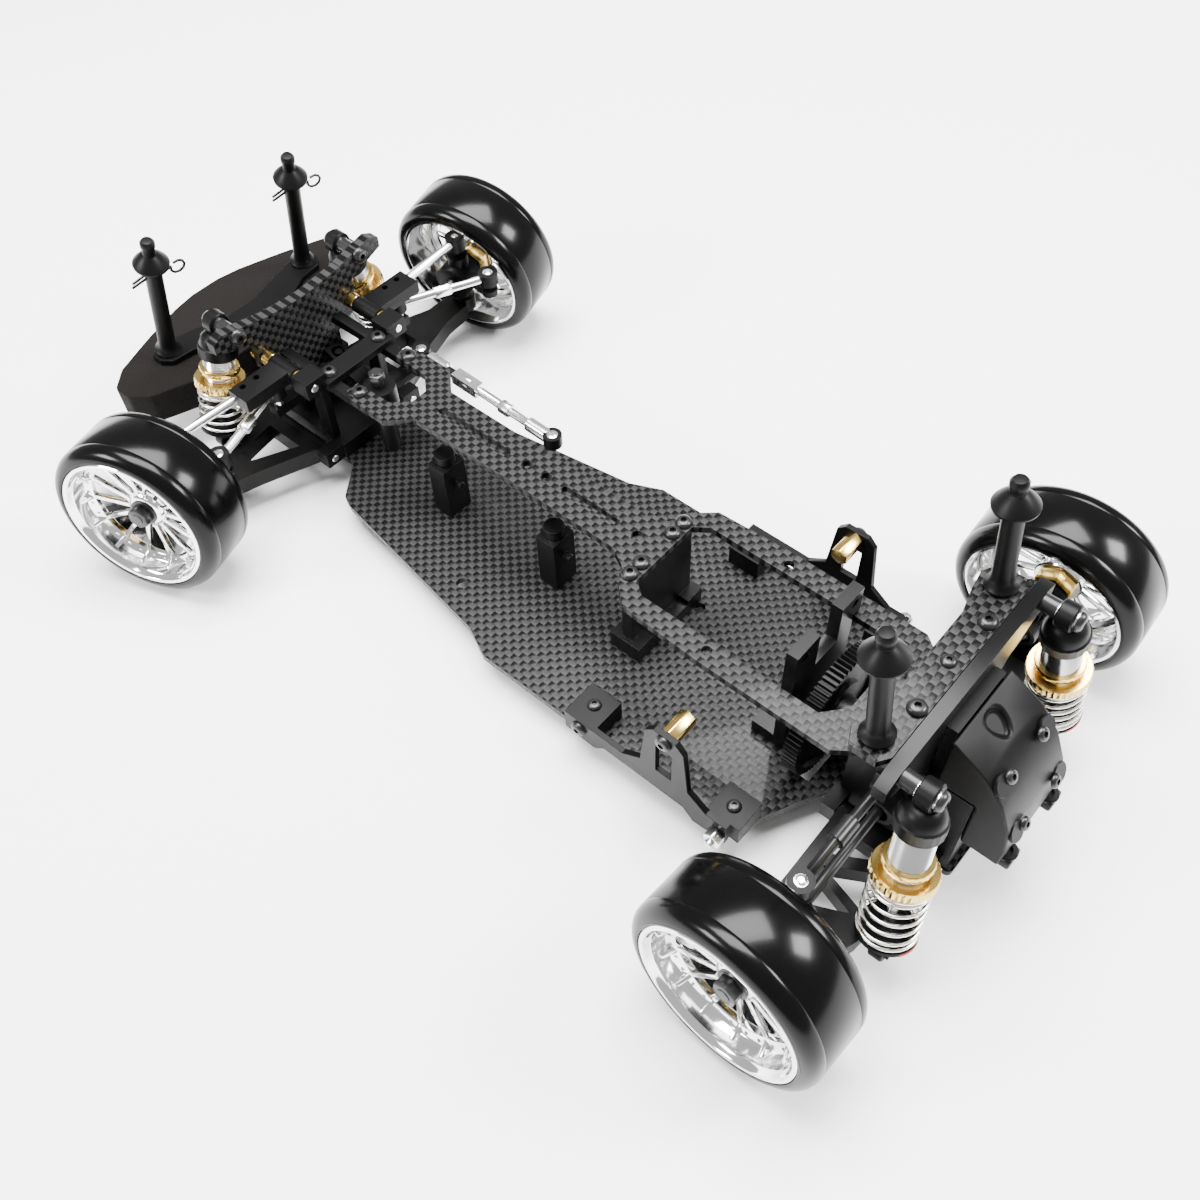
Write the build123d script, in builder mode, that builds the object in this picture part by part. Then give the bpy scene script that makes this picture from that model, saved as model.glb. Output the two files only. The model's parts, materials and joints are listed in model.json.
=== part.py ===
from build123d import *

"""Tenth-scale rear-drive drift car chassis, without body shell, motor or electronics.

+X points to the front of the car, +Y to its left, +Z up. The origin lies on the floor under the
middle of the car. All sizes are in millimetres. Left parts end in _l, right parts in _r.
"""

import os
from math import atan2, cos, degrees, radians, sin

# ---------------------------------------------------------------- overall sizes
wheelbase = 259.6
middle_x = -17.1              # middle of the wheelbase, from the origin
front_pivot_y = 73.0          # steering ball joints, from the centre line
rear_pivot_y = 63.0           # outer pins of the rear arms
floor_gap = 8.5               # floor to the underside of the chassis plate

# ---------------------------------------------------------------- wheels
tyre_radius = 30.75
tyre_width = 26.0
tyre_shoulder = 4.0
rim_radius = 26.0
rim_seat_gap = 0.02           # tyre bore over the rim
rim_bore_radius = 24.4
spoke_count = 12
spoke_width = 2.0
spoke_thickness = 2.6
spoke_depth = 8.0             # outer lip down to the spokes
wheel_hub_radius = 8.0
hex_flats = 12.0
hex_length = 5.0
nut_flats = 7.0
nut_length = 4.5
axle_radius = 2.5
axle_gap = 0.05               # running clearance of the axle in its bearing bore
front_camber = 7.0
rear_camber = 4.5
rear_toe = 2.0
steer_angle = {1: 21.0, -1: 11.0}   # how far each front wheel is turned to the left at rest
front_wheel_offset = 12.0     # steering axis to the middle of the tyre
rear_wheel_offset = 19.6      # outer arm pin to the middle of the tyre

# ---------------------------------------------------------------- plates
plate_thickness = 2.5
plate_waist_half = 31.0       # chassis plate half width behind the front arms
plate_shoulder_half = 41.7
plate_half = 47.0
nose_half = 15.5
deck_top = 50.0               # upper deck's top face, above the floor
deck_neck_half = 8.5
deck_frame_half = 25.0
deck_opening_half = 17.0
brace_top = 79.5
tower_thickness = 4.0

# ---------------------------------------------------------------- suspension
arm_pivot_y = 20.0            # inner hinge pins of all four lower arms
arm_pin_z = 14.0
arm_bottom = 10.5
arm_top = 17.5
rear_outer_pin_z = 15.0
pin_radius = 1.5
pin_gap = 0.05                # running clearance of a hinge pin
ball_radius = 2.4
ball_gap = 0.1                # running clearance of a ball in its cup
cup_radius = 3.8
cup_height = 5.0
stud_radius = 1.3
joint_gap = 0.5               # daylight at each pivot where a closed linkage is opened
kingpin_lower_z = 17.0
kingpin_upper = (-3.7, -3.2, 45.5)  # upper ball from the lower one: along X, outwards, height
upper_pin_z = 49.5
link_radius = 1.6
spring_wire = 1.2
shock_body_radius = 5.6
shock_cap_radius = 7.0
shock_rod_radius = 1.5
front_spring_radius = 8.6
rear_spring_radius = 8.8
front_shock = {"x": 13.3, "top_y": 28.3, "top_z": 64.4, "foot_x": 13.3, "foot_y": 40.6, "foot_z": 17.0}
rear_shock = {"x": -14.8, "top_y": 34.4, "top_z": 77.2, "foot_x": -20.8, "foot_y": 47.5, "foot_z": 12.5}

# ---------------------------------------------------------------- steering
rack_x = -4.7                 # from the front axle
rack_z = 34.0
rack_half = 30.0
rack_width = 5.0
rack_height = 4.0
tie_ball_z = 40.0
steering_arm = (-20.0, -8.0)  # tie rod ball from the steering axis, wheels straight: back, inwards
crank_x = -33.7               # pivot post, from the front axle
servo_ball = (-35.1, -20.4)   # servo link's front ball: from the front axle, from the centre line
servo_link_z = 43.5
servo_link_length = 65.8

# ---------------------------------------------------------------- drive
spur_x = 29.0                 # from the rear axle
spur_y = 1.8
spur_radius = 22.4
spur_thickness = 5.0
drive_z = 30.0                # rear axle's spool and the top shaft
ring_gear_radius = 11.0
pinion_radius = 4.4
outdrive_radius = 5.0
outdrive_y = 19.0             # swing centre of the drive shafts
shaft_reach = 23.8            # drive shaft's outer ball, inwards from the middle of the tyre
shaft_ball_radius = 2.4
motor_y = -3.5
motor_z = 57.0
motor_screw_spacing = 25.0
motor_screw_radius = 1.6

# ---------------------------------------------------------------- fasteners and holes
screw_radius = 1.5
screw_head_radius = 2.8
screw_head_height = 1.7
screw_hole_radius = 1.6
post_radius = 3.0
post_tip_radius = 2.6
post_disc_radius = 6.0

front_x = middle_x + wheelbase / 2
rear_x = middle_x - wheelbase / 2
plate_top = floor_gap + plate_thickness
deck_bottom = deck_top - plate_thickness
brace_bottom = brace_top - plate_thickness
SIDES = ((1, "l"), (-1, "r"))

os.makedirs("parts", exist_ok=True)


def write(part, name):
    """Labels a finished sub-part and writes its STEP file."""
    part.label = name
    export_step(part, f"parts/{name}.step")


def towards(start, end):
    """A plane at start whose normal points at end."""
    return Plane(origin=start, z_dir=Vector(*end) - Vector(*start))


def rod(plane, start, stop, radius, mode=Mode.ADD):
    """A cylinder on a plane's normal, from one distance along it to another."""
    with Locations(plane.offset((start + stop) / 2)):
        Cylinder(radius, stop - start, mode=mode)


def bar(start, end, radius, mode=Mode.ADD):
    """A round bar from one point to another."""
    rod(towards(start, end), 0, (Vector(*end) - Vector(*start)).length, radius, mode)


def flat_bar(start, end, width, height, mode=Mode.ADD):
    """A rectangular bar from one point to another, its height upright."""
    direction = Vector(*end) - Vector(*start)
    across = Vector(0, 0, 1).cross(direction)
    middle = (Vector(*start) + Vector(*end)) * 0.5
    with Locations(Plane(origin=middle, x_dir=across, z_dir=direction)):
        Box(width, height, direction.length, mode=mode)


def block(x, y, z, mode=Mode.ADD):
    """A block between the pairs of limits given for X, Y and Z."""
    with Locations(((x[0] + x[1]) / 2, (y[0] + y[1]) / 2, (z[0] + z[1]) / 2)):
        Box(abs(x[1] - x[0]), abs(y[1] - y[0]), abs(z[1] - z[0]), mode=mode)


def prism(plane, points, thickness, mode=Mode.ADD):
    """A flat-sided solid that rises from an outline drawn on a plane."""
    with BuildSketch(plane) as outline:
        with BuildLine():
            Polyline(*points, close=True)
        make_face()
    extrude(outline.sketch, amount=thickness, mode=mode)


def both_sides(points):
    """An outline given for the left half, completed with its mirror image."""
    return list(points) + [(x, -y) for x, y in reversed(points) if y != 0]


def across_car(points):
    """An outline across the car given for its left half, completed with its mirror image."""
    return list(points) + [(-y, z) for y, z in reversed(points)]


def holes(places, radius, bottom, top):
    """Upright round holes."""
    for x, y in places:
        rod(Plane((x, y, 0)), bottom, top, radius, mode=Mode.SUBTRACT)


def hexagon(plane, start, stop, flats):
    """A hexagonal prism on a plane's normal."""
    with BuildSketch(plane.offset(start)) as outline:
        RegularPolygon(flats / 2, 6, major_radius=False)
    extrude(outline.sketch, amount=stop - start)


def turned(x, y, angle):
    """The point (x, y) turned by an angle in degrees about the origin."""
    c, s = cos(radians(angle)), sin(radians(angle))
    return x * c - y * s, x * s + y * c


# ---------------------------------------------------------------- places shared by several parts
front_arm_pin = {s: (front_x, s * arm_pivot_y, arm_pin_z) for s, _ in SIDES}
rear_arm_pin = {s: (rear_x, s * arm_pivot_y, arm_pin_z) for s, _ in SIDES}
lower_ball = {s: (front_x, s * front_pivot_y, kingpin_lower_z) for s, _ in SIDES}
upper_ball = {s: (front_x + kingpin_upper[0], s * (front_pivot_y + kingpin_upper[1]), kingpin_upper[2])
              for s, _ in SIDES}
wheel_axis = {}
wheel_middle = {}
stand = {}
for end, camber in (("front", front_camber), ("rear", rear_camber)):
    stand[end] = ((tyre_radius - tyre_shoulder) * cos(radians(camber))
                  + (tyre_width / 2 - tyre_shoulder) * sin(radians(camber)) + tyre_shoulder)
for s, side in SIDES:
    tilt = radians(front_camber)
    x, y = turned(0, s * cos(tilt), steer_angle[s])
    wheel_axis["front", side] = Vector(x, y, sin(tilt))
    share = ((stand["front"] - front_wheel_offset * sin(tilt) - kingpin_lower_z)
             / (kingpin_upper[2] - kingpin_lower_z))
    hub_point = Vector(*lower_ball[s]) + (Vector(*upper_ball[s]) - Vector(*lower_ball[s])) * share
    wheel_middle["front", side] = hub_point + wheel_axis["front", side] * front_wheel_offset
    tilt = radians(rear_camber)
    x, y = turned(0, s * cos(tilt), -s * rear_toe)
    wheel_axis["rear", side] = Vector(x, y, sin(tilt))
    hub_point = Vector(rear_x, s * rear_pivot_y, stand["rear"] - rear_wheel_offset * sin(tilt))
    wheel_middle["rear", side] = hub_point + wheel_axis["rear", side] * rear_wheel_offset

tie_outer = {}
for s, side in SIDES:
    x, y = turned(steering_arm[0], s * steering_arm[1], steer_angle[s])
    tie_outer[s] = (front_x + x, s * front_pivot_y + y, tie_ball_z)
rest_steer = (steer_angle[1] + steer_angle[-1]) / 2
rack_shift = steering_arm[0] * sin(radians(rest_steer))
tie_inner = {s: (front_x + rack_x, s * rack_half + rack_shift, tie_ball_z) for s, _ in SIDES}

shock_top = {}
shock_foot = {}
for end, axle, shock in (("front", front_x, front_shock), ("rear", rear_x, rear_shock)):
    for s, side in SIDES:
        shock_top[end, side] = (axle + shock["x"], s * shock["top_y"], shock["top_z"])
        shock_foot[end, side] = (axle + shock["foot_x"], s * shock["foot_y"], shock["foot_z"])

link_outer = {s: (rear_x + 1.6, s * (rear_pivot_y - 4.0), 43.0) for s, _ in SIDES}


wheel_plane = {}
for end in ("front", "rear"):
    for s, side in SIDES:
        outwards = wheel_axis[end, side]
        wheel_plane[end, side] = Plane(origin=wheel_middle[end, side], x_dir=Vector(0, 0, 1).cross(outwards),
                                       z_dir=outwards)
kingpin = {s: towards(lower_ball[s], upper_ball[s]) for s, _ in SIDES}
crank_pivot = (front_x + crank_x, 0)
servo_front = (front_x + servo_ball[0], servo_ball[1], servo_link_z)
servo_rear = (front_x + servo_ball[0] - servo_link_length, servo_ball[1] + 2.0, servo_link_z)
across = Plane.YZ             # outlines drawn across the car, as Y and Z, rising along +X
side_on = Plane.XZ            # outlines drawn side on, as X and Z, rising along -Y

# ---------------------------------------------------------------- chassis plate
tail_x = rear_x - 24.0
nose_x = front_x + 30.0
front_foot_holes = [(front_x + x, y) for x in (-15.0, 12.0) for y in (-9.0, 9.0)]
rear_foot_holes = [(rear_x + x, y) for x in (-18.0, 10.0) for y in (-10.0, 10.0)]
battery_x = (middle_x + 6.3, middle_x + 57.4)
battery_y = 6.5
with BuildPart() as chassis_plate:
    prism(Plane.XY.offset(floor_gap),
          both_sides([(tail_x, nose_half), (rear_x + 18.4, nose_half), (rear_x + 31.6, plate_half - 4.4),
                      (rear_x + 40.3, plate_half), (middle_x + 3.2, plate_half),
                      (middle_x + 15.0, plate_shoulder_half), (front_x - 43.7, plate_waist_half),
                      (front_x - 38.7, plate_waist_half - 2.0), (front_x - 28.5, nose_half),
                      (nose_x, nose_half)]),
          plate_thickness)
    fillet(chassis_plate.edges().filter_by(Axis.Z), 2.0)
    holes(front_foot_holes + rear_foot_holes, screw_hole_radius, floor_gap, plate_top)
    holes([(rear_x + 90.4, -13.7), (middle_x + 30.0, 30.0), (middle_x + 30.0, -30.0)], 2.0,
          floor_gap, plate_top)
    # slot that the spur gear dips into
    block((rear_x + spur_x - 4.5, rear_x + spur_x + 4.5), (spur_y - 15.0, spur_y + 15.0),
          (floor_gap, plate_top), mode=Mode.SUBTRACT)
write(chassis_plate.part, "chassis_plate")

# ---------------------------------------------------------------- upper deck and rear brace
# A two-pronged fork at the front, a slotted neck, and a frame round the motor at the back.
fork_screws = [(front_x - 38.7, y) for y in (-11.7, 11.7)]
frame_screws = [(rear_x + 97.9, y) for y in (-13.1, -7.7, 7.7, 13.1)]
rail_holes = [(rear_x + 62.8, y) for y in (-20.4, 20.4)]
deck_tail_screws = [(rear_x + 12.0, y) for y in (-10.0, 10.0)]
brace_screws = [(rear_x, y) for y in (-17.2, 17.2)]
post_x = rear_x + 3.4
with BuildPart() as upper_deck:
    prism(Plane.XY.offset(deck_bottom),
          both_sides([(rear_x + 7.0, 18.0), (rear_x + 10.5, 20.2), (rear_x + 16.8, deck_frame_half),
                      (rear_x + 64.0, deck_frame_half), (rear_x + 92.0, deck_frame_half - 1.3),
                      (rear_x + 99.0, deck_frame_half - 7.4), (rear_x + 102.0, 12.0),
                      (rear_x + 109.0, deck_neck_half), (front_x - 63.0, deck_neck_half),
                      (front_x - 55.0, 16.0), (front_x - 39.0, 16.0), (front_x - 34.5, 14.0),
                      (front_x - 34.5, 9.0), (front_x - 50.0, 8.5), (front_x - 56.0, 3.2)]),
          plate_thickness)
    prism(Plane.XY.offset(deck_bottom),
          both_sides([(rear_x + 20.0, 10.0), (rear_x + 26.0, deck_opening_half),
                      (rear_x + 90.0, deck_opening_half), (rear_x + 94.8, 13.5)]),
          plate_thickness, mode=Mode.SUBTRACT)
    with BuildSketch(Plane.XY.offset(deck_bottom)):
        with Locations((middle_x + 47.3, 0)):
            SlotOverall(33.0, 2.6)
        with Locations((middle_x - 4.4, 0)):
            SlotOverall(24.0, 2.6)
    extrude(amount=plate_thickness, mode=Mode.SUBTRACT)
    holes(fork_screws + frame_screws + rail_holes + deck_tail_screws, screw_hole_radius, deck_bottom, deck_top)
    holes([(middle_x + x, 0) for x in (23.0, 14.5, -24.0)], 2.0, deck_bottom, deck_top)
    # brace between the rear tower and the rear body posts
    prism(Plane.XY.offset(brace_bottom),
          both_sides([(rear_x - 2.9, 22.0), (rear_x - 2.9, 33.0), (rear_x - 0.6, 36.6), (rear_x + 7.4, 36.6),
                      (rear_x + 10.2, 31.0), (rear_x + 9.0, 24.0), (rear_x + 6.9, 16.0)]),
          plate_thickness)
    holes(brace_screws + [(rear_x + 1.4, 0)], screw_hole_radius, brace_bottom, brace_top)
write(upper_deck.part, "upper_deck")

# ---------------------------------------------------------------- front bulkhead
# A foot on the chassis plate, two legs, rails under the deck's fork, the cross bar that ties
# them, and the carriers of all four front hinge pins.
leg_inner = 12.0
leg_outer = 15.0
rail_inner = 10.5
rail_outer = 14.5
rail_bottom = deck_bottom - 3.5
carrier_outer = arm_pivot_y + 3.5
tower_back = front_x + 1.3
tower_front = tower_back + tower_thickness
arm_carriers = (front_x - 22.0, front_x + 18.0)
with BuildPart() as front_bulkhead:
    block((front_x - 25.0, front_x + 20.5), (-15.4, 15.4), (plate_top, arm_top))
    block((tower_back - 3.0, tower_back), (-12.0, 12.0), (arm_top, 28.0))
    block((front_x + 20.5, front_x + 28.0), (-9.0, 9.0), (plate_top, 33.0))
    block((front_x - 27.0, front_x - 19.0), (-16.0, 16.0), (deck_bottom, deck_top))
    for s, side in SIDES:
        block((front_x - 19.5, front_x - 13.0), (s * leg_inner, s * leg_outer), (arm_top, deck_bottom))
        block((front_x - 44.0, tower_back), (s * rail_inner, s * rail_outer), (rail_bottom, deck_bottom))
        block((front_x - 24.7, front_x - 16.7), (s * rail_outer, s * carrier_outer), (46.3, 53.0))
        for x in arm_carriers:
            block((x - 2.5, x + 2.5), (s * 15.4, s * carrier_outer), (plate_top + 0.5, arm_top + 0.5))
        for x, z, radius in ((-30.0, upper_pin_z, pin_radius), (-30.0, arm_pin_z, pin_radius)):
            bar((front_x + x, s * arm_pivot_y, z), (front_x + 25.0, s * arm_pivot_y, z), radius,
                mode=Mode.SUBTRACT)
    holes(front_foot_holes, screw_radius, plate_top, plate_top + 5.0)
    holes(fork_screws, screw_radius, rail_bottom, deck_bottom)
write(front_bulkhead.part, "front_bulkhead")

# ---------------------------------------------------------------- motor mount and centre bulkhead
# The motor bolts to the two pillars; its shaft passes between them to mesh with the spur gear.
mount_x = (rear_x + 37.0, rear_x + 41.0)
motor_holes = [(motor_y - motor_screw_spacing / 2, motor_z), (motor_y + motor_screw_spacing / 2, motor_z)]
bulkhead_x = (rear_x + 95.9, rear_x + 99.9)
with BuildPart() as motor_mount:
    block(mount_x, (-16.5, 13.0), (plate_top, 46.0))
    block(mount_x, (-16.5, -9.0), (46.0, deck_top + 0.5))
    block(mount_x, (-20.0, -9.0), (deck_top + 0.5, 61.0))
    block(mount_x, (2.0, 13.0), (46.0, 61.0))
    block((mount_x[1], mount_x[1] + 8.0), (-16.5, 13.0), (plate_top, plate_top + 5.0))
    for y, z in motor_holes:
        bar((mount_x[0], y, z), (mount_x[1], y, z), motor_screw_radius, mode=Mode.SUBTRACT)
    block(bulkhead_x, (-15.0, 15.0), (plate_top, deck_bottom))
    block((bulkhead_x[0] - 4.0, bulkhead_x[0]), (-15.0, 15.0), (plate_top, plate_top + 5.0))
    for s, side in SIDES:
        block((bulkhead_x[0] - 4.0, bulkhead_x[1] + 4.0), (s * 9.0, s * 16.5), (plate_top, plate_top + 7.0))
    holes(frame_screws, screw_radius, deck_bottom - 6.0, deck_bottom)
write(motor_mount.part, "motor_mount")

# ---------------------------------------------------------------- gearbox housing and cover
box_front = rear_x + 15.0
box_back = rear_x - 22.0
box_half = 15.0
tower_rear_x = (rear_x - 3.1 - tower_thickness, rear_x - 3.1)
cavity_radius = 12.4
link_ball = {s: (rear_x + 1.6, s * 19.0, 42.0) for s, _ in SIDES}
with BuildPart() as gearbox:
    block((rear_x + 6.5, box_front), (-box_half, box_half), (plate_top, deck_bottom))
    block((box_back, rear_x + 6.5), (-box_half, box_half), (plate_top, deck_top))
    block((tower_rear_x[0] - 3.4, tower_rear_x[0]), (-12.0, 12.0), (deck_top, 72.0))
    for s, side in SIDES:
        block((rear_x - 2.9, rear_x + 4.5), (s * box_half, s * 20.2), (46.5, deck_top))
        for x in (rear_x - 17.5, rear_x + 14.0):
            block((x - 2.5, x + 2.5), (s * box_half, s * carrier_outer), (plate_top, arm_top + 0.5))
        bar((rear_x - 25.0, s * arm_pivot_y, arm_pin_z), (rear_x + 20.0, s * arm_pivot_y, arm_pin_z),
            pin_radius, mode=Mode.SUBTRACT)
    # chamber for the spool, side openings for the outdrives, bore for the top shaft
    bar((rear_x, -12.6, drive_z), (rear_x, 12.6, drive_z), cavity_radius, mode=Mode.SUBTRACT)
    bar((rear_x, -box_half, drive_z), (rear_x, box_half, drive_z), outdrive_radius + 0.3, mode=Mode.SUBTRACT)
    bar((rear_x, spur_y, drive_z), (box_front, spur_y, drive_z), axle_radius + axle_gap, mode=Mode.SUBTRACT)
    holes(rear_foot_holes, screw_radius, plate_top, plate_top + 5.0)
    holes(deck_tail_screws, screw_radius, deck_bottom - 6.0, deck_bottom)
    # cover, a rounded back with two ears at its foot
    prism(side_on.offset(-12.0),
          [(box_back - 0.1, 30.0), (rear_x - 34.0, 30.0), (rear_x - 34.4, 38.0), (rear_x - 32.8, 48.0),
           (rear_x - 28.5, 57.5), (rear_x - 22.0, 64.5), (rear_x - 10.6, 71.0), (rear_x - 10.6, deck_top + 0.1),
           (box_back - 0.1, deck_top + 0.1)],
          24.0)
    for s, side in SIDES:
        block((rear_x - 37.0, rear_x - 30.0), (s * 5.0, s * 11.5), (30.0, 34.0))
        holes([(rear_x - 34.6, s * 8.1)], screw_hole_radius, 30.0, 34.0)
write(gearbox.part, "gearbox")

# ---------------------------------------------------------------- shock towers and bumper brace
brace_z = 33.0
front_post_base = {s: (front_x + 48.3, s * 33.3, brace_z + plate_thickness) for s, _ in SIDES}
with BuildPart() as shock_towers:
    prism(across.offset(tower_back),
          across_car([(0, 63.3), (5.0, 63.5), (16.0, 64.6), (34.0, 68.5), (38.0, 66.5), (38.0, 62.5),
                      (31.0, 60.0), (22.8, 57.0), (22.8, 45.0), (12.0, 40.0), (12.0, arm_top)])[1:],
          tower_thickness)
    prism(across.offset(tower_rear_x[0]),
          across_car([(12.5, 79.7), (36.0, 79.7), (41.5, 77.5), (41.5, 73.0), (36.0, 69.5),
                      (24.0, 64.0), (14.0, deck_top)]),
          tower_thickness)
    prism(Plane.XY.offset(brace_z),
          both_sides([(front_x + 21.0, 8.0), (front_x + 33.0, 12.0), (front_x + 41.0, 27.0),
                      (front_x + 42.0, 36.0), (front_x + 46.0, 39.0), (front_x + 51.0, 39.0),
                      (front_x + 53.5, 34.0), (front_x + 50.3, 20.2), (front_x + 46.1, 7.0)]),
          plate_thickness)
    for s, side in SIDES:
        bar((tower_back, s * arm_pivot_y, upper_pin_z), (tower_front, s * arm_pivot_y, upper_pin_z),
            pin_radius, mode=Mode.SUBTRACT)
        x, y, z = shock_top["front", side]
        bar((tower_back, y, z), (tower_front, y, z), 2.0, mode=Mode.SUBTRACT)
        x, y, z = shock_top["rear", side]
        bar((tower_rear_x[0], y, z), (tower_rear_x[1], y, z), 2.0, mode=Mode.SUBTRACT)
        rod(Plane((front_post_base[s][0], front_post_base[s][1], 0)), brace_z, brace_z + plate_thickness,
            post_radius - 1.0, mode=Mode.SUBTRACT)
write(shock_towers.part, "shock_towers")

# ---------------------------------------------------------------- foam bumper
foam_bottom = 20.0
with BuildPart() as bumper_foam:
    prism(Plane.XY.offset(foam_bottom),
          both_sides([(front_x + 28.3, 32.0), (front_x + 35.8, 52.1), (front_x + 42.0, 57.5),
                      (front_x + 50.0, 57.5), (front_x + 56.5, 50.0), (front_x + 63.0, 33.0),
                      (front_x + 68.5, 16.0), (front_x + 70.3, 6.0)]),
          brace_z - foam_bottom)
    fillet(bumper_foam.edges().filter_by(Axis.Z), 3.0)
write(bumper_foam.part, "bumper_foam")

# ---------------------------------------------------------------- body posts
rear_post_base = {s: (post_x, s * 30.0, brace_top) for s, _ in SIDES}
post_top = {}
for s, side in SIDES:
    post_top["front", s] = (front_x + 35.5, s * 31.0, 90.0)
    post_top["rear", s] = (rear_x + 8.2, s * 29.6, 119.5)
with BuildPart() as body_posts:
    for end, base, disc in (("front", front_post_base, 45.0), ("rear", rear_post_base, 31.0)):
        for s, side in SIDES:
            lean = towards(base[s], post_top[end, s])
            length = (Vector(*post_top[end, s]) - Vector(*base[s])).length
            rod(lean, 1.0, disc + 1.0, post_radius)
            rod(lean, disc, length - 0.5, post_tip_radius)
            rod(lean, disc, disc + 2.0, post_disc_radius)
            rod(Plane(base[s]), 0, 2.0, post_radius + 2.5)
            # holes for the clips, across the tip
            for height in (disc + 4.0, disc + 7.5):
                with Locations(lean.offset(height) * Rotation(90, 0, 0)):
                    Cylinder(0.7, 4 * post_radius, mode=Mode.SUBTRACT)
write(body_posts.part, "body_posts")

# ---------------------------------------------------------------- battery holders
# Side plates on corner blocks along the chassis edge, and two posts by the centre line.
side_plate_x = (rear_x + 31.9, rear_x + 94.9)
side_block_x = (rear_x + 34.6, rear_x + 88.9)
tab_x = rear_x + 55.4
with BuildPart() as battery_holders:
    for s, side in SIDES:
        prism(side_on.offset(-s * (plate_half + 1.0) - 1.0),
              [(side_plate_x[0], 10.0), (side_plate_x[0], 19.0), (tab_x - 16.0, 19.0), (tab_x - 9.0, 24.0),
               (tab_x - 7.0, 43.0), (tab_x - 4.0, 46.0), (tab_x + 4.0, 46.0), (tab_x + 7.0, 43.0),
               (tab_x + 9.0, 24.0), (tab_x + 16.0, 19.0), (side_plate_x[1], 19.0), (side_plate_x[1], 10.0),
               (side_plate_x[1] - 12.0, 9.0), (side_plate_x[1] - 16.0, 13.0), (side_plate_x[0] + 16.0, 13.0),
               (side_plate_x[0] + 12.0, 9.0)],
              2.0)
        block((tab_x - 3.0, tab_x + 3.0), (s * (plate_half - 1.0), s * (plate_half + 4.0)), (24.0, 38.0),
              mode=Mode.SUBTRACT)
        for x in side_block_x:
            block((x - 6.0, x + 6.0), (s * (plate_half - 11.5), s * plate_half), (plate_top, plate_top + 8.0))
            holes([(x, s * (plate_half - 5.5))], 2.2, plate_top, plate_top + 8.0)
    for x in battery_x:
        block((x - 4.0, x + 4.0), (battery_y - 5.0, battery_y + 5.0), (plate_top, 34.0))
        rod(Plane((x, battery_y, 0)), 34.0, 38.0, 3.6)
        bar((x - 7.0, battery_y, 26.0), (x - 4.0, battery_y, 26.0), 1.3)
write(battery_holders.part, "battery_holders")

# ---------------------------------------------------------------- brass spacers
standoff_z = 43.0
standoff_length = 9.4
with BuildPart() as brass_spacers:
    for s, side in SIDES:
        # hexagonal standoffs on the side plates' tabs
        inner = Plane(origin=(tab_x, s * plate_half, standoff_z), z_dir=(0, -s, 0))
        hexagon(inner, 0, standoff_length, 5.5)
        rod(inner, standoff_length - 6.0, standoff_length, 1.25, mode=Mode.SUBTRACT)
        # spacers on the upper front hinge pins
        pin = Plane(origin=(front_x, s * arm_pivot_y, upper_pin_z), z_dir=(1, 0, 0))
        rod(pin, -16.5, -15.3, pin_radius + 1.4)
        rod(pin, -2.7, 1.2, pin_radius + 1.4)
        rod(pin, 5.4, 7.0, pin_radius + 1.4)
        rod(pin, -17.0, 8.0, pin_radius, mode=Mode.SUBTRACT)
write(brass_spacers.part, "brass_spacers")

# ---------------------------------------------------------------- spur gear with its shaft and pinion
shaft = Plane(origin=(rear_x, spur_y, drive_z), z_dir=(1, 0, 0))
with BuildPart() as spur_gear:
    rod(shaft, spur_x - spur_thickness / 2, spur_x + spur_thickness / 2, spur_radius)
    rod(shaft, spur_x + 1.0, spur_x + spur_thickness / 2, spur_radius - 4.0, mode=Mode.SUBTRACT)
    with Locations(shaft.offset(spur_x)):
        with PolarLocations(13.0, 6):
            Cylinder(3.0, 2 * spur_thickness, mode=Mode.SUBTRACT)
    rod(shaft, 7.0, spur_x + 5.5, axle_radius)
    rod(shaft, 16.0, spur_x + 4.5, 6.5)
    rod(shaft, 7.0, 10.2, pinion_radius)
write(spur_gear.part, "spur_gear")

# ---------------------------------------------------------------- spool with outdrives
with BuildPart() as final_drive:
    bar((rear_x, -12.0, drive_z), (rear_x, 12.0, drive_z), 4.0)
    bar((rear_x, -6.4, drive_z), (rear_x, -3.0, drive_z), ring_gear_radius)
    for s, side in SIDES:
        bar((rear_x, s * 11.0, drive_z), (rear_x, s * (outdrive_y + 3.0), drive_z), outdrive_radius)
        bar((rear_x, s * (outdrive_y - 4.5), drive_z), (rear_x, s * (outdrive_y + 3.0), drive_z),
            outdrive_radius - 1.5, mode=Mode.SUBTRACT)
write(final_drive.part, "final_drive")

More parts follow.
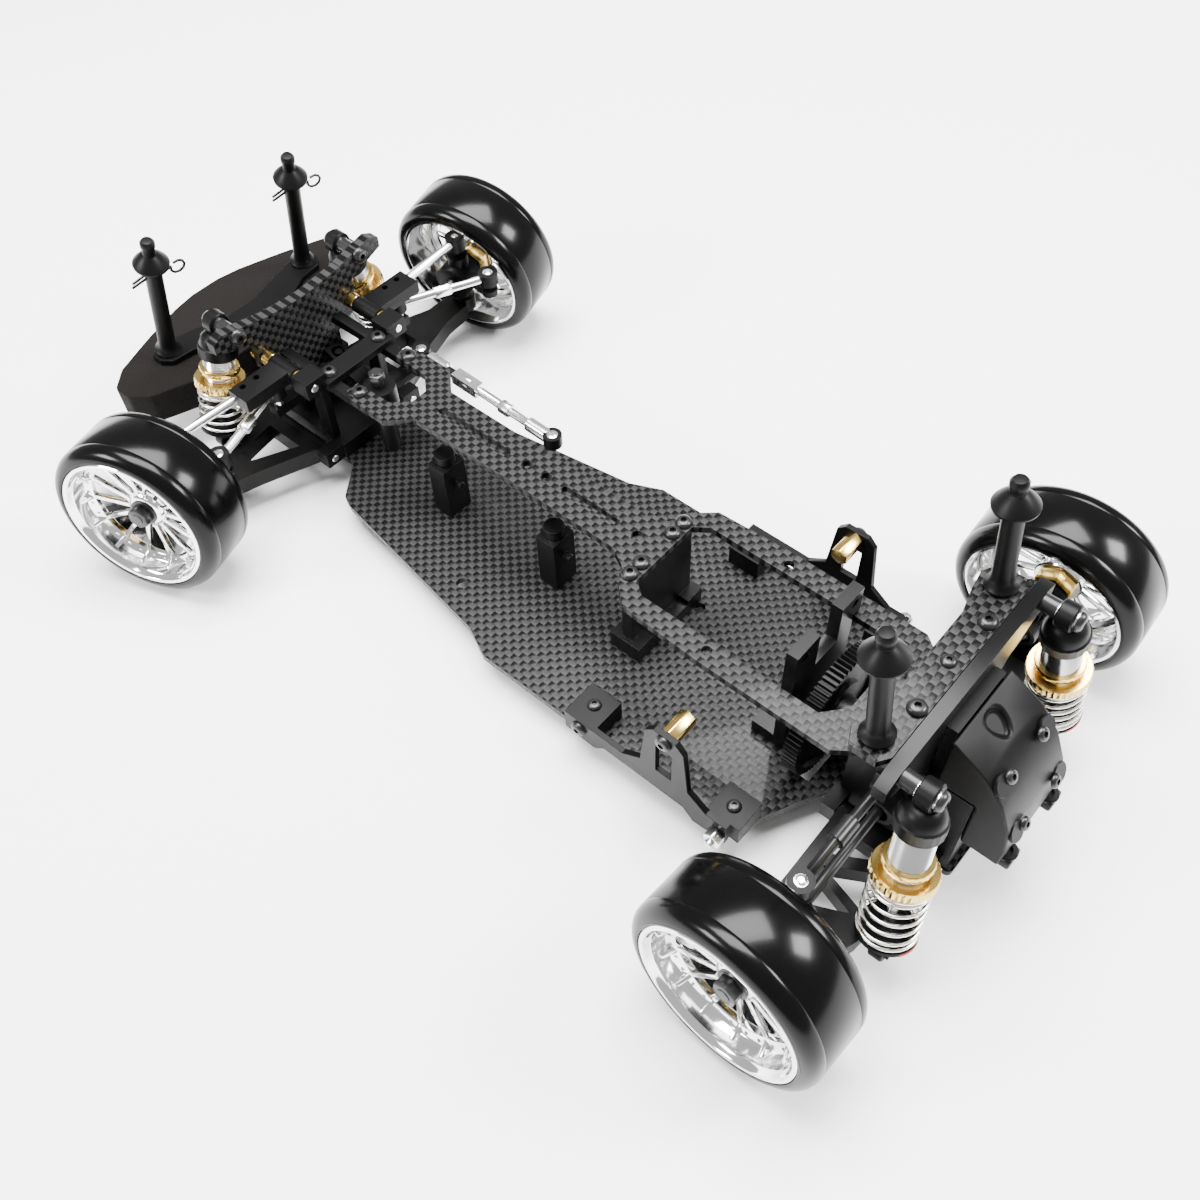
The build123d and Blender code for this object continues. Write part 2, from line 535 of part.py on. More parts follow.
# ---------------------------------------------------------------- steering crank, rack, servo link
crank_reach = rack_x - crank_x
crank_angle = degrees(atan2(rack_shift, crank_reach))
pin_slot = (crank_reach - 2.4, crank_reach * 1.065 + 2.4)
rack_pin_radius = 1.5
crank_forward = turned(1, 0, crank_angle)
crank_plane = Plane(origin=(crank_pivot[0], 0, 0), x_dir=(crank_forward[0], crank_forward[1], 0))
lever_tip = (servo_front[0], servo_front[1])
steering_post_radius = 2.0
with BuildPart() as steering_crank:
    rod(crank_plane, 33.0, 42.0, 6.0)
    with BuildSketch(crank_plane.offset(34.4)) as arm:
        with Locations((pin_slot[1] / 2 + 0.6, 0)):
            Rectangle(pin_slot[1] + 1.2, 7.0)
        with Locations(((pin_slot[0] + pin_slot[1]) / 2, 0)):
            SlotOverall(pin_slot[1] - pin_slot[0], 4.4, mode=Mode.SUBTRACT)
    extrude(arm.sketch, amount=2.8)
    flat_bar((crank_pivot[0], 0, 39.6), (lever_tip[0], lever_tip[1], 39.6), 6.0, 2.6)
    rod(Plane((lever_tip[0], lever_tip[1], 0)), 38.3, 40.9, 3.0)
    rod(Plane((lever_tip[0], lever_tip[1], 0)), 40.9, servo_link_z, stud_radius)
    with Locations(servo_front):
        Sphere(ball_radius)
    rod(Plane((crank_pivot[0], 0, 0)), 33.0, 42.0, steering_post_radius + pin_gap, mode=Mode.SUBTRACT)
write(steering_crank.part, "steering_crank")

rack_front = front_x + rack_x
with BuildPart() as steering_rack:
    block((rack_front - rack_width / 2, rack_front + rack_width / 2),
          (rack_shift - rack_half - 3.0, rack_shift + rack_half + 3.0), (rack_z - rack_height, rack_z))
    rod(Plane((rack_front, rack_shift, 0)), rack_z, rack_z + 3.6, rack_pin_radius)
    for s, side in SIDES:
        rod(Plane((rack_front, tie_inner[s][1], 0)), rack_z - rack_height, rack_z, stud_radius + pin_gap,
            mode=Mode.SUBTRACT)
write(steering_rack.part, "steering_rack")

with BuildPart() as servo_link:
    bar(servo_front, servo_rear, link_radius)
    for end in (servo_front, servo_rear):
        with Locations(end):
            Cylinder(3.3, 4.6)
    flat_bar((servo_front[0] - 18.0, servo_front[1] + 0.55, servo_link_z),
             (servo_front[0] - 30.0, servo_front[1] + 0.9, servo_link_z), 4.4, 4.4)
    with Locations(servo_front):
        Sphere(ball_radius + ball_gap, mode=Mode.SUBTRACT)
    rod(Plane((servo_front[0], servo_front[1], 0)), servo_link_z - 4.0, servo_link_z, 2.1, mode=Mode.SUBTRACT)
write(servo_link.part, "servo_link")


# ---------------------------------------------------------------- wheels
def make_wheel(end, side):
    """The tyre, the spoked rim and the hub of one wheel, built on its spin axis."""
    axis = wheel_plane[end, side]
    name = f"{end}_{{}}_{side}"
    half = tyre_width / 2
    spoke_top = half - spoke_depth
    spoke_base = spoke_top - spoke_thickness
    with BuildPart() as tyre:
        rod(axis, -half, half, tyre_radius)
        fillet(tyre.edges().filter_by(GeomType.CIRCLE), tyre_shoulder)
        rod(axis, -half, half, rim_radius + rim_seat_gap, mode=Mode.SUBTRACT)
    write(tyre.part, name.format("tyre"))
    with BuildPart() as rim:
        rod(axis, -half + 0.5, half, rim_radius)
        rod(axis, -half + 0.5, half, rim_bore_radius, mode=Mode.SUBTRACT)
        rod(axis, spoke_base - 2.0, spoke_top, wheel_hub_radius)
        with Locations(axis.offset((spoke_base + spoke_top) / 2)):
            with PolarLocations((wheel_hub_radius + rim_bore_radius) / 2, spoke_count):
                Box(rim_bore_radius - wheel_hub_radius + 2.0, spoke_width, spoke_thickness)
        rod(axis, -half, half, axle_radius + axle_gap, mode=Mode.SUBTRACT)
    write(rim.part, name.format("rim"))
    inner = -25.0 if end == "rear" else -22.0
    with BuildPart() as hub:
        rod(axis, inner, spoke_top + 5.0, axle_radius)
        hexagon(axis, spoke_base - 2.1 - hex_length, spoke_base - 2.1, hex_flats)
        hexagon(axis, spoke_top + 0.1, spoke_top + nut_length, nut_flats)
        if end == "rear":
            rod(axis, inner, inner + 5.0, outdrive_radius)
            rod(axis, inner, inner + 4.2, outdrive_radius - 1.5, mode=Mode.SUBTRACT)
        else:
            rod(axis, inner, inner + 1.5, axle_radius + 1.5)
    write(hub.part, name.format("hub"))


for end in ("front", "rear"):
    for s, side in SIDES:
        make_wheel(end, side)


# ---------------------------------------------------------------- shocks
def make_shock(end, side, s):
    """The body, the spring and the rod of one shock, built on the line from top eyelet to foot."""
    top = Vector(*shock_top[end, side])
    foot = Vector(*shock_foot[end, side])
    length = (foot - top).length
    line = Plane(origin=top, x_dir=(1, 0, 0), z_dir=foot - top)
    coil = front_spring_radius if end == "front" else rear_spring_radius
    collar = 21.5 if end == "front" else 29.0
    body_end = collar + 11.0
    spring_end = length - (7.2 if end == "front" else 10.4)
    thick = 2.5
    with BuildPart() as body:
        rod(line, 3.8, 10.0, shock_cap_radius - 0.6)
        rod(line, 10.0, 12.0, shock_cap_radius)
        rod(line, 12.0, body_end, shock_body_radius)
        rod(line, collar - 4.5, collar - 2.5, shock_body_radius + 1.4)
        rod(line, collar, collar + 4.0, coil + 0.5)
        bar(top - Vector(thick, 0, 0), top + Vector(thick, 0, 0), 4.2)
        rod(line, body_end - 10.0, body_end, shock_rod_radius + pin_gap, mode=Mode.SUBTRACT)
        bar(top - Vector(thick, 0, 0), top + Vector(thick, 0, 0), 2.0 + pin_gap, mode=Mode.SUBTRACT)
    write(body.part, f"{end}_shock_body_{side}")
    with BuildPart() as spring:
        rod(line, collar + 4.3, spring_end - 0.3, coil)
        rod(line, collar + 4.3, spring_end - 0.3, coil - spring_wire, mode=Mode.SUBTRACT)
    write(spring.part, f"{end}_shock_spring_{side}")
    with BuildPart() as piston:
        rod(line, body_end - 5.0, length - 3.0, shock_rod_radius)
        rod(line, spring_end, spring_end + 1.6, coil)
        rod(line, spring_end + 1.6, length - 2.6, 2.6)
        bar(foot - Vector(thick, 0, 0), foot + Vector(thick, 0, 0), 3.4)
        bar(foot - Vector(thick, 0, 0), foot + Vector(thick, 0, 0), pin_radius + joint_gap, mode=Mode.SUBTRACT)
    write(piston.part, f"{end}_shock_rod_{side}")


for end in ("front", "rear"):
    for s, side in SIDES:
        make_shock(end, side, s)


# ---------------------------------------------------------------- front corner
def make_front_corner(s, side):
    """Lower arm, ball, knuckle, upper arm, tie rod and its ball of one front corner."""
    ball = lower_ball[s]
    foot = shock_foot["front", side]
    with BuildPart() as arm:
        bar((front_x - 19.2, s * arm_pivot_y, arm_pin_z), (front_x + 15.2, s * arm_pivot_y, arm_pin_z), 3.2)
        prism(Plane.XY.offset(arm_bottom),
              [(front_x - 19.2, s * 20.6), (front_x + 15.2, s * 20.6), (front_x + 14.0, s * 27.0),
               (front_x + 9.8, s * 33.0), (front_x + 9.8, s * 45.0), (front_x + 5.0, s * 58.0),
               (front_x + 5.0, s * 70.0), (front_x - 5.0, s * 70.0), (front_x - 6.0, s * 58.0),
               (front_x - 10.0, s * 45.0)],
              arm_top - arm_bottom)
        prism(Plane.XY.offset(arm_bottom),
              [(front_x - 12.0, s * 26.0), (front_x + 5.0, s * 26.0), (front_x + 2.5, s * 42.0),
               (front_x - 4.0, s * 42.0)],
              arm_top - arm_bottom, mode=Mode.SUBTRACT)
        rod(Plane((ball[0], ball[1], 0)), 12.5, 18.4, 4.6)
        bar((front_x + 5.0, foot[1], foot[2]), (foot[0] + 3.4, foot[1], foot[2]), pin_radius)
        with Locations(ball):
            Sphere(ball_radius + ball_gap, mode=Mode.SUBTRACT)
        rod(Plane((ball[0], ball[1], 0)), ball[2], 20.0, 2.35, mode=Mode.SUBTRACT)
        bar((front_x - 25.0, s * arm_pivot_y, arm_pin_z), (front_x + 25.0, s * arm_pivot_y, arm_pin_z),
            pin_radius + pin_gap, mode=Mode.SUBTRACT)
    write(arm.part, f"front_lower_arm_{side}")

    with BuildPart() as pivot:
        with Locations(ball):
            Sphere(ball_radius)
        rod(kingpin[s], 0, 7.5, stud_radius)
    write(pivot.part, f"front_pivot_ball_{side}")

    # upright on the ball stud, bearing housing on the axle, studs for the upper arm and tie rod
    axis = wheel_plane["front", side]
    spin = -front_wheel_offset
    steer_x, steer_y, steer_z = tie_outer[s]
    with BuildPart() as knuckle:
        rod(axis, spin - 6.0, spin + 4.5, 7.5)
        rod(kingpin[s], 3.8, 9.0, 3.6)
        rod(kingpin[s], 15.0, 25.2, 4.0)
        rod(kingpin[s], 25.2, kingpin_upper[2] - kingpin_lower_z - 1.6, stud_radius)
        corner = kingpin[s].offset(19.5).origin
        flat_bar((corner.X, corner.Y, 33.5), (steer_x, steer_y, 33.5), 5.0, 2.6)
        rod(Plane((steer_x, steer_y, 0)), 32.2, 34.8, 3.0)
        rod(axis, spin - 8.0, spin + 6.0, axle_radius + axle_gap, mode=Mode.SUBTRACT)
        rod(kingpin[s], 3.0, 7.8, stud_radius + pin_gap, mode=Mode.SUBTRACT)
    write(knuckle.part, f"front_knuckle_{side}")

    cup = upper_ball[s]
    with BuildPart() as upper:
        bar((front_x - 15.0, s * arm_pivot_y, upper_pin_z), (front_x - 3.0, s * arm_pivot_y, upper_pin_z), 3.2)
        block((front_x - 13.5, front_x - 4.0), (s * (arm_pivot_y + 1.0), s * 41.0), (47.0, 52.0))
        bar((front_x - 6.0, s * 40.0, 48.6), (cup[0], cup[1], cup[2] + 2.4), link_radius)
        rod(Plane((cup[0], cup[1], 0)), cup[2] - 0.6, cup[2] + cup_height, cup_radius)
        for y in (30.7, 36.7):
            rod(Plane((front_x - 6.5, s * y, 0)), 47.0, 52.0, 1.2, mode=Mode.SUBTRACT)
        bar((front_x - 20.0, s * arm_pivot_y, upper_pin_z), (front_x + 5.0, s * arm_pivot_y, upper_pin_z),
            pin_radius + pin_gap, mode=Mode.SUBTRACT)
    write(upper.part, f"front_upper_arm_{side}")

    near = tie_inner[s]
    far = tie_outer[s]
    with BuildPart() as tie_ball:
        with Locations(near):
            Sphere(ball_radius)
        rod(Plane((near[0], near[1], 0)), rack_z - rack_height + 0.5, near[2], stud_radius)
        rod(Plane((near[0], near[1], 0)), rack_z + 0.3, rack_z + 2.0, 2.2)
    write(tie_ball.part, f"tie_ball_{side}")
    with BuildPart() as tie_rod:
        bar(near, far, link_radius)
        for end in (near, far):
            with Locations(end):
                Cylinder(cup_radius, cup_height)
        with Locations(near):
            Sphere(ball_radius + ball_gap, mode=Mode.SUBTRACT)
            Cylinder(2.0, 4 * cup_height, mode=Mode.SUBTRACT)
    write(tie_rod.part, f"tie_rod_{side}")


for s, side in SIDES:
    make_front_corner(s, side)


# ---------------------------------------------------------------- rear corner
def make_rear_corner(s, side):
    """Lower arm, hub carrier, upper link and drive shaft of one rear corner."""
    foot = shock_foot["rear", side]
    outer = s * rear_pivot_y
    with BuildPart() as arm:
        bar((rear_x - 14.7, s * arm_pivot_y, arm_pin_z), (rear_x + 11.2, s * arm_pivot_y, arm_pin_z), 3.2)
        prism(Plane.XY.offset(arm_bottom),
              [(rear_x + 11.2, s * 20.6), (rear_x + 10.5, s * 66.2), (rear_x + 6.1, s * 66.2),
               (rear_x + 6.1, s * 58.0), (rear_x - 6.1, s * 58.0), (rear_x - 6.1, s * 66.2),
               (rear_x - 10.5, s * 66.2), (rear_x - 15.5, s * 52.0), (rear_x - 16.2, s * 44.0),
               (rear_x - 14.7, s * 32.0), (rear_x - 14.7, s * 20.6)],
              arm_top - arm_bottom)
        for points in (((rear_x - 11.0, 26.0), (rear_x + 7.0, 26.0), (rear_x + 6.5, 36.0)),
                       ((rear_x - 12.0, 30.0), (rear_x + 4.5, 39.5), (rear_x - 12.0, 44.0)),
                       ((rear_x + 6.5, 41.5), (rear_x + 6.0, 54.0), (rear_x - 9.5, 46.5))):
            prism(Plane.XY.offset(arm_bottom), [(x, s * y) for x, y in points], arm_top - arm_bottom,
                  mode=Mode.SUBTRACT)
        bar((foot[0] - 3.4, foot[1], foot[2]), (rear_x - 12.0, foot[1], foot[2]), pin_radius)
        bar((rear_x - 10.5, outer, rear_outer_pin_z), (rear_x + 10.5, outer, rear_outer_pin_z), pin_radius)
        bar((rear_x - 25.0, s * arm_pivot_y, arm_pin_z), (rear_x + 25.0, s * arm_pivot_y, arm_pin_z),
            pin_radius + pin_gap, mode=Mode.SUBTRACT)
    write(arm.part, f"rear_lower_arm_{side}")

    axis = wheel_plane["rear", side]
    spin = -rear_wheel_offset
    ball = link_outer[s]
    with BuildPart() as carrier:
        bar((rear_x - 5.6, outer, rear_outer_pin_z), (rear_x + 5.6, outer, rear_outer_pin_z), 3.2)
        block((rear_x - 5.0, rear_x + 5.0), (outer - 3.0, outer + 3.0), (rear_outer_pin_z, 23.8))
        rod(axis, spin, spin + 11.5, 7.5)
        block((rear_x - 3.0, rear_x + 5.0), (s * 60.2, s * 66.0), (35.2, 38.4))
        block((rear_x - 2.0, rear_x + 5.2), (s * 56.0, s * 66.0), (36.0, 39.0))
        rod(Plane((ball[0], ball[1], 0)), 37.0, ball[2], stud_radius)
        with Locations(ball):
            Sphere(ball_radius)
        rod(axis, spin - 8.0, spin + 13.0, axle_radius + axle_gap, mode=Mode.SUBTRACT)
        bar((rear_x - 10.0, outer, rear_outer_pin_z), (rear_x + 10.0, outer, rear_outer_pin_z),
            pin_radius + pin_gap, mode=Mode.SUBTRACT)
    write(carrier.part, f"rear_hub_carrier_{side}")

    near = link_ball[s]
    with BuildPart() as link:
        bar(near, ball, link_radius)
        bar(Vector(*near) * 0.6 + Vector(*ball) * 0.4, Vector(*near) * 0.4 + Vector(*ball) * 0.6, 2.6)
        bar(Vector(*near) - Vector(2.4, 0, 0), Vector(*near) + Vector(2.4, 0, 0), cup_radius)
        with Locations(ball):
            Cylinder(cup_radius, cup_height)
        with Locations(near):
            Sphere(ball_radius + ball_gap, mode=Mode.SUBTRACT)
        bar((near[0], s * 12.0, near[2]), near, 2.2, mode=Mode.SUBTRACT)
        with Locations(ball):
            Sphere(ball_radius + 0.6, mode=Mode.SUBTRACT)
        rod(Plane((ball[0], ball[1], 0)), ball[2] - 6.0, ball[2], 2.3, mode=Mode.SUBTRACT)
    write(link.part, f"rear_upper_link_{side}")

    start = (rear_x, s * outdrive_y, drive_z)
    finish = axis.offset(-shaft_reach).origin
    with BuildPart() as drive_shaft:
        bar(start, finish, link_radius)
        with Locations(start, finish):
            Sphere(shaft_ball_radius)
    write(drive_shaft.part, f"drive_shaft_{side}")


for s, side in SIDES:
    make_rear_corner(s, side)

# ---------------------------------------------------------------- steel screws, pins and nuts
with BuildPart() as steel_fasteners:
    for places, seat, depth in ((fork_screws + frame_screws + deck_tail_screws, deck_top, 5.0),
                                (brace_screws + [(rear_x + 1.4, 0)], brace_top, 4.0)):
        for x, y in places:
            rod(Plane((x, y, 0)), seat - depth, seat, screw_radius - 0.02)
            rod(Plane((x, y, 0)), seat, seat + screw_head_height, screw_head_radius)
    for x, y in front_foot_holes + rear_foot_holes:
        rod(Plane((x, y, 0)), floor_gap, plate_top + 4.5, screw_radius - 0.02)
    # steering post with its nut
    rod(Plane((crank_pivot[0], 0, 0)), plate_top, 48.5, steering_post_radius)
    rod(Plane((crank_pivot[0], 0, 0)), plate_top, 32.6, 3.4)
    hexagon(Plane((crank_pivot[0], 0, 0)), 45.0, 48.0, 5.5)
    for s, side in SIDES:
        for x0, x1 in ((front_x - 24.7, front_x + 20.7), (rear_x - 20.2, rear_x + 16.7)):
            bar((x0, s * arm_pivot_y, arm_pin_z), (x1, s * arm_pivot_y, arm_pin_z), pin_radius - 0.02)
        bar((front_x - 24.9, s * arm_pivot_y, upper_pin_z), (front_x + 8.0, s * arm_pivot_y, upper_pin_z),
            pin_radius - 0.02)
        x, y, z = shock_top["front", side]
        bar((tower_back - 2.4, y, z), (x + 5.2, y, z), 2.0 - 0.02)
        bar((tower_back - 2.4, y, z), (tower_back, y, z), 3.4)
        bar((tower_front, y, z), (x - 3.0, y, z), 2.7)
        bar((x + 3.0, y, z), (x + 5.0, y, z), 2.8)
        x, y, z = shock_top["rear", side]
        bar((x - 5.2, y, z), (tower_rear_x[1], y, z), 2.0 - 0.02)
        bar((x + 3.0, y, z), (tower_rear_x[0], y, z), 2.7)
        bar((x - 5.0, y, z), (x - 3.0, y, z), 2.8)
        # ball studs of the rear upper links
        near = link_ball[s]
        with Locations(near):
            Sphere(ball_radius)
        bar((near[0], s * box_half, near[2]), near, stud_radius)
        # columns under the brace
        rod(Plane((rear_x, s * 17.2, 0)), deck_top, brace_bottom, 2.8)
        # side plate screws, and the long one with its nut
        bar((side_block_x[1], s * (plate_half + 2.0), 14.9), (side_block_x[1], s * (plate_half + 3.6), 14.9), 2.8)
        bar((side_block_x[0], s * (plate_half + 2.0), 12.9), (side_block_x[0], s * (plate_half + 7.0), 12.9),
            screw_radius)
        nut = Plane(origin=(side_block_x[0], s * (plate_half + 2.0), 12.9), z_dir=(0, s, 0))
        hexagon(nut, 0.0, 3.6, 5.5)
        bar((tab_x, s * (plate_half + 2.0), standoff_z), (tab_x, s * (plate_half + 3.6), standoff_z), 2.8)
write(steel_fasteners.part, "steel_fasteners")
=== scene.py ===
import json
import math

import bmesh
import bpy
from mathutils import Matrix, Vector


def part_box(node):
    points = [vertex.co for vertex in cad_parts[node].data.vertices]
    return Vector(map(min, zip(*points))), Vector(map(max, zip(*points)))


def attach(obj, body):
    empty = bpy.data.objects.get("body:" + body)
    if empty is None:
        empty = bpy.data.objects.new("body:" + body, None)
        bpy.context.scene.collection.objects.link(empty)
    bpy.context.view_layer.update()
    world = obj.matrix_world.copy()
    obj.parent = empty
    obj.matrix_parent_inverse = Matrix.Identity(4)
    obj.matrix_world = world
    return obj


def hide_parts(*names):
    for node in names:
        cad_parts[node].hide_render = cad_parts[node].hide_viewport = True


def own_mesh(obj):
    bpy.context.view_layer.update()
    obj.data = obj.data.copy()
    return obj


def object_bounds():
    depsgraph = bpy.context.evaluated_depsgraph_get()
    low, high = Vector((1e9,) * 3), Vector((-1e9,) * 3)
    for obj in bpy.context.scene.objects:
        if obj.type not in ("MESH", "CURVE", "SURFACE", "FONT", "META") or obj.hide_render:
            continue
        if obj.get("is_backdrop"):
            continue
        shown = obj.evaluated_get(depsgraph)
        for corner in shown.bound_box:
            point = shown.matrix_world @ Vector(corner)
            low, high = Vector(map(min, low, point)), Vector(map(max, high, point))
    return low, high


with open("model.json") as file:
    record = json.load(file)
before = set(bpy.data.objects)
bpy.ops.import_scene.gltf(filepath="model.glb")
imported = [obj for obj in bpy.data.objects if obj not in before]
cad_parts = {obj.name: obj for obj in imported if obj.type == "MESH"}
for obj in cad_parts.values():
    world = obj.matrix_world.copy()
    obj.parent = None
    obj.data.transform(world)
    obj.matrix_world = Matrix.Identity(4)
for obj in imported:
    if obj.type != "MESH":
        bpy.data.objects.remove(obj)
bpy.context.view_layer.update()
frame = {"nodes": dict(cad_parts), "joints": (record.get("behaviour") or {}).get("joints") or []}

# ---------------------------------------------------------------- studio
# A plain pale floor under soft light from large panels: one overhead, one behind the car's
# tail and one low beside its nose. The camera looks down over the left rear wheel.


def plain_floor():
    """A large pale floor with a faint grain."""
    bm = bmesh.new()
    bmesh.ops.create_grid(bm, x_segments=1, y_segments=1, size=4.0)
    mesh = bpy.data.meshes.new("floor")
    bm.to_mesh(mesh)
    bm.free()
    floor = bpy.data.objects.new("floor", mesh)
    bpy.context.scene.collection.objects.link(floor)
    paper = bpy.data.materials.new("pale_paper")
    paper.use_nodes = True
    tree = paper.node_tree
    shader = tree.nodes["Principled BSDF"]
    shader.inputs["Roughness"].default_value = 0.9
    shader.inputs["Specular IOR Level"].default_value = 0.2
    coords = tree.nodes.new("ShaderNodeTexCoord")
    noise = tree.nodes.new("ShaderNodeTexNoise")
    ramp = tree.nodes.new("ShaderNodeValToRGB")
    noise.inputs["Scale"].default_value = 300.0
    ramp.color_ramp.elements[0].color = (0.86, 0.86, 0.86, 1)
    ramp.color_ramp.elements[1].color = (0.9, 0.9, 0.9, 1)
    tree.links.new(coords.outputs["Object"], noise.inputs["Vector"])
    tree.links.new(noise.outputs["Fac"], ramp.inputs["Fac"])
    tree.links.new(ramp.outputs["Color"], shader.inputs["Base Color"])
    mesh.materials.append(paper)
    floor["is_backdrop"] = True


def panel_light(name, place, target, size, power):
    """A square light panel that faces a point."""
    lamp = bpy.data.lights.new(name, "AREA")
    lamp.shape = "RECTANGLE"
    lamp.size, lamp.size_y = size
    lamp.energy = power
    obj = bpy.data.objects.new(name, lamp)
    obj.location = place
    obj.rotation_euler = (Vector(target) - Vector(place)).to_track_quat("-Z", "Y").to_euler()
    bpy.context.scene.collection.objects.link(obj)


plain_floor()
panel_light("overhead_panel", (0.15, -0.1, 1.1), (0, 0, 0), (1.0, 0.6), 74.0)
panel_light("tail_panel", (-0.8, -0.7, 0.9), (0, 0, 0), (0.4, 0.4), 34.0)
panel_light("nose_panel", (0.6, 1.0, 0.8), (0, 0, 0), (0.4, 0.3), 26.0)
world = bpy.data.worlds.new("studio")
world.use_nodes = True
world.node_tree.nodes["Background"].inputs["Color"].default_value = (1.0, 1.0, 1.0, 1)
world.node_tree.nodes["Background"].inputs["Strength"].default_value = 0.6
bpy.context.scene.world = world

camera_data = bpy.data.cameras.new("camera")
camera_data.lens = 36.75
camera_data.sensor_width = 36.0
camera_data.clip_start = 0.01
camera = bpy.data.objects.new("camera", camera_data)
camera.location = (-0.19813, 0.18533, 0.34515)
camera.rotation_euler = (math.radians(36.467), math.radians(1.803), math.radians(-139.161))
bpy.context.scene.collection.objects.link(camera)
bpy.context.scene.camera = camera

# ---------------------------------------------------------------- plates of carbon fibre
# Chassis plate, upper deck, rear brace and the front shock tower are cut from woven
# carbon sheet under clear resin, with their sawn edges eased.
MM = 0.001  # one millimetre in metres


class Term:
    """A socket in a material: arithmetic adds Math nodes, node() adds any other kind."""

    def __init__(self, tree, socket=None):
        self.tree = tree
        self.socket = socket

    def node(self, kind, settings, values, output=0):
        """Adds a node, its settings first, then the values or links of its sockets."""
        made = self.tree.nodes.new(kind)
        for key, value in settings.items():
            if key == "stops":
                elements = made.color_ramp.elements
                while len(elements) < len(value):
                    elements.new(0.5)
                for element, (place, colour) in zip(elements, value):
                    element.position = place
                    element.color = (*colour, 1)
            else:
                setattr(made, key, value)
        for key, value in values.items():
            if isinstance(value, Term):
                self.tree.links.new(value.socket, made.inputs[key])
            else:
                made.inputs[key].default_value = value
        return Term(self.tree, made.outputs[output])

    def maths(self, operation, *terms):
        return self.node("ShaderNodeMath", {"operation": operation}, dict(enumerate(terms)))

    def __add__(self, other):
        return self.maths("ADD", self, other)

    def __sub__(self, other):
        return self.maths("SUBTRACT", self, other)

    def __rsub__(self, other):
        return self.maths("SUBTRACT", other, self)

    def __mul__(self, other):
        return self.maths("MULTIPLY", self, other)

    def __truediv__(self, other):
        return self.maths("DIVIDE", self, other)

    __radd__ = __add__
    __rmul__ = __mul__

    def mix(self, first, second):
        """Blends two colours with this term as the share of the second."""
        return self.node("ShaderNodeMix", {"data_type": "RGBA"}, {0: self, 6: first, 7: second}, output=2)

    def feeds(self, shader, name):
        self.tree.links.new(self.socket, shader.inputs[name])


def grey(shade):
    return (shade, shade, shade, 1)


def new_finish(name, colour, metallic=0.0, coat=0.0, coat_roughness=0.03, specular=0.5):
    """A new material with its plain values set; gives it, its shader and its first term."""
    material = bpy.data.materials.new(name)
    material.use_nodes = True
    shader = material.node_tree.nodes["Principled BSDF"]
    shader.inputs["Base Color"].default_value = colour
    shader.inputs["Metallic"].default_value = metallic
    shader.inputs["Coat Weight"].default_value = coat
    shader.inputs["Coat Roughness"].default_value = coat_roughness
    shader.inputs["Specular IOR Level"].default_value = specular
    start = Term(material.node_tree)
    coords = start.node("ShaderNodeTexCoord", {}, {}, "Object")
    return material, shader, coords


def carbon_fibre(name, first_axis, second_axis, tow):
    """Plain woven carbon in clear resin, woven along two of the object's axes."""
    material, shader, coords = new_finish(name, grey(0.004), coat=0.07, coat_roughness=0.05, specular=0.1)
    parts = coords.node("ShaderNodeSeparateXYZ", {}, {"Vector": coords})
    axes = [Term(parts.tree, parts.socket.node.outputs[axis]) for axis in (first_axis, second_axis)]
    wander = coords.node("ShaderNodeTexNoise", {}, {"Vector": coords, "Scale": 90.0, "Detail": 1.0}) - 0.5
    u = axes[0] / (tow * MM) + wander * 0.12
    v = axes[1] / (tow * MM) + wander * 0.12
    over = (u.maths("FLOOR", u) + v.maths("FLOOR", v)).maths("FLOORED_MODULO", u.maths("FLOOR", u)
                                                            + v.maths("FLOOR", v), 2.0)
    across_u = (u.maths("FRACT", u) * math.pi).maths("SINE", u.maths("FRACT", u) * math.pi)
    across_v = (v.maths("FRACT", v) * math.pi).maths("SINE", v.maths("FRACT", v) * math.pi)
    along_u = over * (across_v * (0.55 + across_u * 0.45))
    along_v = (1 - over) * (across_u * (0.55 + across_v * 0.45))
    strands = coords.node("ShaderNodeTexNoise", {}, {"Vector": coords, "Scale": 2600.0, "Detail": 2.0})
    height = along_u + along_v + strands * 0.18
    glint = over * 0.55 + strands * 0.45
    (glint * glint).mix(grey(0.0005), grey(0.034)).feeds(shader, "Base Color")
    (0.24 + over * 0.16 + strands * 0.1).feeds(shader, "Roughness")
    bump = height.node("ShaderNodeBump", {}, {"Height": height, "Strength": 0.4, "Distance": 0.25 * MM})
    bump.feeds(shader, "Normal")
    return material


def put(name, bm, body, material, stands_for=(), smooth=38):
    """Makes a finished bmesh a piece: shaded, painted and riding on its CAD body."""
    mesh = bpy.data.meshes.new(name)
    bm.normal_update()
    bm.to_mesh(mesh)
    bm.free()
    mesh.materials.append(material)
    mesh.polygons.foreach_set("use_smooth", [True] * len(mesh.polygons))
    mesh.set_sharp_from_angle(angle=math.radians(smooth))
    piece = bpy.data.objects.new(name, mesh)
    bpy.context.scene.collection.objects.link(piece)
    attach(piece, body)
    if stands_for:
        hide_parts(*stands_for)
    return piece


